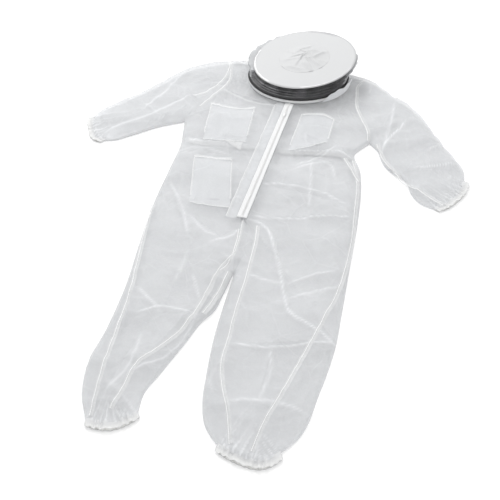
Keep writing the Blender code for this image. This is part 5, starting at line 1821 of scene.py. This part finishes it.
class BEESUIT_OT_waist(bpy.types.Operator):
    """Makes the waist's casing and elastic inside the back"""
    bl_idname = "beesuit.waist"
    bl_label = "Waist"

    def execute(self, context):
        line = curve(WAIST_LINE, 220)
        run = np.linspace(0, 1, 221)
        for name, width, low, finish_name, slot, node, held in (
                ("waist_gathers", 0.026, 0.0052, "casing", "white_trim", "waist_casing", "gathered"),
                ("waist_elastic_band", 0.012, 0.0040, "elastic", "elastic_webbing", "waist_elastic", "stretched")):
            grid, uv = strip_plan(line, width, 6)
            ripple = 0.0012 * np.sin(run * 150 + 2 * np.sin(run * 31))[:, None] * (0.4 + 0.6 * np.abs(2 * uv[:, :, 1] - 1))
            z = low + 0.0012 + (ripple if held == "gathered" else 0.15 * ripple)
            band = lay_grid(name, np.dstack([grid, z * np.ones(grid.shape[:2])]), uv)
            finish(band, "suit", FINISHES[finish_name], [node])
            cut = (band_cut("waist_casing", TRIM_WALL, WAIST_CASING_DEPTH, GATHER_FULLNESS) if held == "gathered" else
                   band_cut("waist_elastic", TRIM_WALL, ELASTIC_DEPTH, 1 / ELASTIC_STRETCH))
        return {"FINISHED"}


class BEESUIT_OT_front_zip(bpy.types.Operator):
    """Makes the front zip: flap, tapes, coils, slider and pull"""
    bl_idname = "beesuit.front_zip"
    bl_label = "Front zip"

    def execute(self, context):
        for side, node in ((RIGHT, "right_zip_tape"), (LEFT, "left_zip_tape")):
            low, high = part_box(node)
            rows, cols = 240, 6
            y, u = np.linspace(low.y, high.y, rows + 1), np.linspace(0, 1, cols + 1)
            grid = np.zeros((rows + 1, cols + 1, 3))
            inner_low, inner_high = (low.x, ZIP_X + PLAN_X - 0.0003) if side == RIGHT else (ZIP_X + PLAN_X + 0.0003, high.x)
            grid[:, :, 0] = inner_low + (inner_high - inner_low) * u[None]
            grid[:, :, 1] = y[:, None]
            outer = u if side == LEFT else 1 - u
            grid[:, :, 2] = ZIP_Z + 0.0008 + 0.0005 * np.sin(y * 61 + SIGN[side])[:, None] * outer[None] ** 2
            tape = add_mesh(node + "_cloth", grid.reshape(-1, 3), faces_up(grid.reshape(-1, 3), grid_faces(rows + 1, cols + 1)),
                            shift=False)
            map_flat(tape)
            thicken(tape, 0.0010)
            apply_modifier(tape, tape.modifiers[0])
            finish(tape, "suit", FINISHES["tape"], [node])
        flap_low, flap_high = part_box("zip_flap")
        rows, cols = 160, 12
        y, px = np.linspace(flap_low.y, flap_high.y, rows + 1), np.linspace(flap_low.x - 0.008, flap_high.x, cols + 1)
        grid = np.zeros((rows + 1, cols + 1, 3))
        grid[:, :, 0], grid[:, :, 1] = px[None], y[:, None]
        plan = grid[:, :, :2].reshape(-1, 2) - np.array((PLAN_X, PLAN_Y))
        grid[:, :, 2] = np.minimum(on_front(plan).reshape(rows + 1, cols + 1) + 0.0009, ZIP_Z - 0.0001)
        beside = np.abs(plan[:, 0] - ZIP_X).reshape(rows + 1, cols + 1) < 0.014
        grid[:, :, 2] = np.where(beside, ZIP_Z - 0.0006, grid[:, :, 2])
        flap = add_mesh("zip_flap_cloth", grid.reshape(-1, 3), faces_up(grid.reshape(-1, 3), grid_faces(rows + 1, cols + 1)),
                        shift=False)
        map_flat(flap)
        flap.data.shade_smooth()
        finish(flap, "suit", FINISHES["pocket"], ["zip_flap"])
        stitched = lay_strip("zip_flap_seam", [(-0.033, ZIP_TOP_Y - 0.006), (-0.033, -0.300), (-0.033, ZIP_BOTTOM_Y + 0.004)],
                             0.007, lift=0.0014)
        finish(stitched, "suit", FINISHES["seam"])
        pitch = sizes().tooth_pitch
        for side in (RIGHT, LEFT):
            node = side + "_zip_coil"
            low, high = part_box(node)
            turn = tooth(side + "_zip_teeth", reach=0.0026, pitch=pitch, tall=high.z - ZIP_Z - 0.0004)
            if side == RIGHT:
                base = low.x + 0.0013
            else:
                base = high.x - 0.0013
                turn = placed(turn, (0, 0, 0), math.pi)
            turn = placed(turn, (base, low.y + pitch * (0.5 if side == RIGHT else 1.0), (ZIP_Z + high.z) / 2))
            coil = coil_row(side + "_zip_teeth", int((high.y - low.y) / pitch) - 1, pitch, turn, (0, 1, 0))
            finish(coil, "suit", FINISHES["coil"], [node])
        for node in ("zip_bottom_stop", "left_zip_top_stop", "right_zip_top_stop"):
            assign_node(node, FINISHES["slider"])
        low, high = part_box("front_zip_slider")
        slider = placed(slider_body("front_slider_body"), ((low.x + high.x) / 2, (low.y + high.y) / 2, low.z))
        finish(slider, "front_slider", FINISHES["slider"], ["front_zip_slider"])
        low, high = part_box("front_zip_pull")
        pull = placed(pull_tab("front_pull_tab", high.y - low.y), ((low.x + high.x) / 2, high.y, (low.z + high.z) / 2))
        finish(pull, "front_pull", FINISHES["slider"], ["front_zip_pull"])
        return {"FINISHED"}


def assign_node(node, material):
    mesh = frame["nodes"][node].data
    mesh.materials.clear()
    mesh.materials.append(material)


class BEESUIT_OT_collar(bpy.types.Operator):
    """Makes the collar and the zip that joins it to the veil"""
    bl_idname = "beesuit.collar"
    bl_label = "Collar and veil zip"

    def execute(self, context):
        collar, edge = make_collar(), make_collar_edge()
        finish(collar, "suit", FINISHES["front"], ["collar_band"])
        finish(edge, "suit", FINISHES["fold"])
        low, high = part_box("collar_band")
        round(cloth_in("collar_band", CLOTH_WALL), 4)
        pitch = sizes().tooth_pitch
        for which, body, tape_node, coil_node in (("collar", "suit", "collar_zip_tape", "collar_zip_coil"),
                                                  ("veil", "hood", "veil_zip_tape", "veil_zip_coil")):
            low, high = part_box(tape_node)
            radius = (high.x - low.x) / 2 - 0.0006
            tape = spun(which + "_tape_band", [(radius - 0.0005, low.z), (radius + 0.0005, low.z),
                                               (radius + 0.0005, high.z), (radius - 0.0005, high.z)],
                        HOOP_PLACE, steps=150, start=110, angle=320)
            ring_uv(tape, HOOP_PLACE, radius, high.z - low.z)
            dark = which == "veil"
            finish(tape, body, FINISHES["binding" if dark else "tape"],
                   [tape_node])
            low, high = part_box(coil_node)
            radius = (high.x - low.x) / 2 - 0.0022
            count = int(math.radians(320) * radius / pitch)
            turn = tooth(which + "_coil_teeth", reach=0.0026, pitch=pitch, tall=high.z - low.z)
            turn = placed(turn, (HOOP_PLACE[0] + radius, HOOP_PLACE[1], (low.z + high.z) / 2))
            coil = coil_ring(which + "_coil_teeth", turn, HOOP_PLACE, count, 110, 320)
            finish(coil, body, FINISHES["dark_coil" if dark else "coil"], [coil_node])
        assign_node("veil_zip_slider", FINISHES["slider"])
        assign_node("veil_zip_pull", FINISHES["slider"])
        return {"FINISHED"}


class BEESUIT_OT_veil(bpy.types.Operator):
    """Makes the hoop, the black net and the cloth at the back of the veil"""
    bl_idname = "beesuit.veil"
    bl_label = "Veil"

    def execute(self, context):
        low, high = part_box("veil_hoop")
        hoop = spun("hoop_binding", oval((high.x - low.x) / 2 - 0.0020, (low.z + high.z) / 2, 0.0036, high.z - low.z, 16, 0.8),
                    HOOP_PLACE, steps=192)
        ring_uv(hoop, HOOP_PLACE, 0.166, high.z - low.z)
        finish(hoop, "hood", FINISHES["binding"], ["veil_hoop"])
        (net, binding), veil = make_net(), make_rear_veil()
        finish(net, None, FINISHES["net"], ["front_mesh"])
        finish(veil, None, FINISHES["veil"], ["rear_veil"])
        finish(binding, None, FINISHES["binding"])
        for piece in (net, veil, binding):
            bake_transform(piece)
        return {"FINISHED"}


class BEESUIT_OT_hat(bpy.types.Operator):
    """Makes the hat: brim, piped edge, pleated crown and sweatband"""
    bl_idname = "beesuit.hat"
    bl_label = "Hat"

    def execute(self, context):
        finish(make_brim(), "hat", FINISHES["hat"], ["hat_brim"])
        finish(make_crown(), "hat", FINISHES["hat"], ["hat_crown"])
        piping = make_hat_ring("brim_edge_piping", HAT_RADIUS - 0.0016, 0.0, 0.0034, 0.0044)
        finish(piping, "hat", FINISHES["piping"], ["brim_piping"])
        band = make_hat_ring("sweatband_cloth", 0.0750, -0.0100, 0.0016, 0.0168, power=0.5)
        finish(band, "hat", FINISHES["piping"], ["sweatband"])
        assign_node("brim_wire", FINISHES["wire"])
        return {"FINISHED"}


class BEESUIT_OT_stage(bpy.types.Operator):
    """Makes the floor, the lights and the camera"""
    bl_idname = "beesuit.stage"
    bl_label = "Stage"

    def execute(self, context):
        scene = context.scene
        bpy.ops.mesh.primitive_plane_add(size=30.0, location=(0, 0, 0))
        floor = context.object
        floor.name = "floor"
        floor_finish, tree, shader = new_material("pale_floor")
        grain = put(tree, "ShaderNodeTexNoise", {"Scale": 3.0, "Vector": put(tree, "ShaderNodeTexCoord").outputs["Object"]})
        tree.links.new(tint(tree, grain.outputs["Fac"], (0.955, 0.955, 0.955), (0.965, 0.965, 0.965)),
                       shader.inputs["Base Color"])
        shader.inputs["Roughness"].default_value = 0.9
        floor.data.materials.append(floor_finish)
        world = bpy.data.worlds.new("studio")
        world.use_nodes = True
        world.node_tree.nodes["Background"].inputs["Color"].default_value = (1.0, 1.0, 1.0, 1)
        world.node_tree.nodes["Background"].inputs["Strength"].default_value = 1.0
        scene.world = world
        for name, place, size, power in (("key_light", (-1.3, 1.9, 2.5), 1.1, 44.0),
                                         ("fill_light", (1.8, -1.4, 2.8), 2.4, 12.0)):
            light = bpy.data.lights.new(name, "AREA")
            light.size, light.energy = size, power
            lamp = bpy.data.objects.new(name, light)
            lamp.location = place
            lamp.rotation_mode = "QUATERNION"
            lamp.rotation_quaternion = (Vector((0, 0, 0)) - Vector(place)).to_track_quat("-Z", "Y")
            scene.collection.objects.link(lamp)
        camera = bpy.data.objects.new("camera", bpy.data.cameras.new("camera"))
        camera.data.lens, camera.data.sensor_width = sizes().lens, 36.0
        camera.location = CAMERA_PLACE
        yaw, pitch = math.radians(CAMERA_YAW), math.radians(CAMERA_PITCH)
        ahead = Vector((math.sin(yaw) * math.cos(pitch), math.cos(yaw) * math.cos(pitch), -math.sin(pitch)))
        camera.rotation_mode = "QUATERNION"
        camera.rotation_quaternion = ahead.to_track_quat("-Z", "Y")
        scene.collection.objects.link(camera)
        scene.camera = camera
        scene.view_settings.view_transform = "Standard"
        return {"FINISHED"}


CAMERA_PLACE = (0.4504, -1.7285, 1.358)
CAMERA_YAW, CAMERA_PITCH = -14.322, 41.0

OPERATORS = [BEESUIT_OT_finishes, BEESUIT_OT_front, BEESUIT_OT_back, BEESUIT_OT_ends, BEESUIT_OT_seams,
             BEESUIT_OT_pockets, BEESUIT_OT_waist, BEESUIT_OT_front_zip, BEESUIT_OT_collar, BEESUIT_OT_veil,
             BEESUIT_OT_hat, BEESUIT_OT_stage]


class BEESUIT_PT_panel(bpy.types.Panel):
    bl_idname = "BEESUIT_PT_panel"
    bl_label = "Bee suit"
    bl_space_type = "VIEW_3D"
    bl_region_type = "UI"
    bl_category = "Bee suit"

    def draw(self, context):
        for group in (context.scene.bee_suit_sizes, context.scene.bee_suit_look):
            for name in group.__annotations__:
                self.layout.prop(group, name)
        for operator in OPERATORS:
            self.layout.operator(operator.bl_idname)


CLASSES = [BeeSuitLook, BeeSuitSizes, *OPERATORS, BEESUIT_PT_panel]


def register():
    for cls in CLASSES:
        bpy.utils.register_class(cls)
    bpy.types.Scene.bee_suit_look = bpy.props.PointerProperty(type=BeeSuitLook)
    bpy.types.Scene.bee_suit_sizes = bpy.props.PointerProperty(type=BeeSuitSizes)


def unregister():
    del bpy.types.Scene.bee_suit_sizes
    del bpy.types.Scene.bee_suit_look
    for cls in reversed(CLASSES):
        bpy.utils.unregister_class(cls)


def main():
    register()
    for operator in OPERATORS:
        group, name = operator.bl_idname.split(".")
        getattr(getattr(bpy.ops, group), name)()


if __name__ == "__main__":
    main()
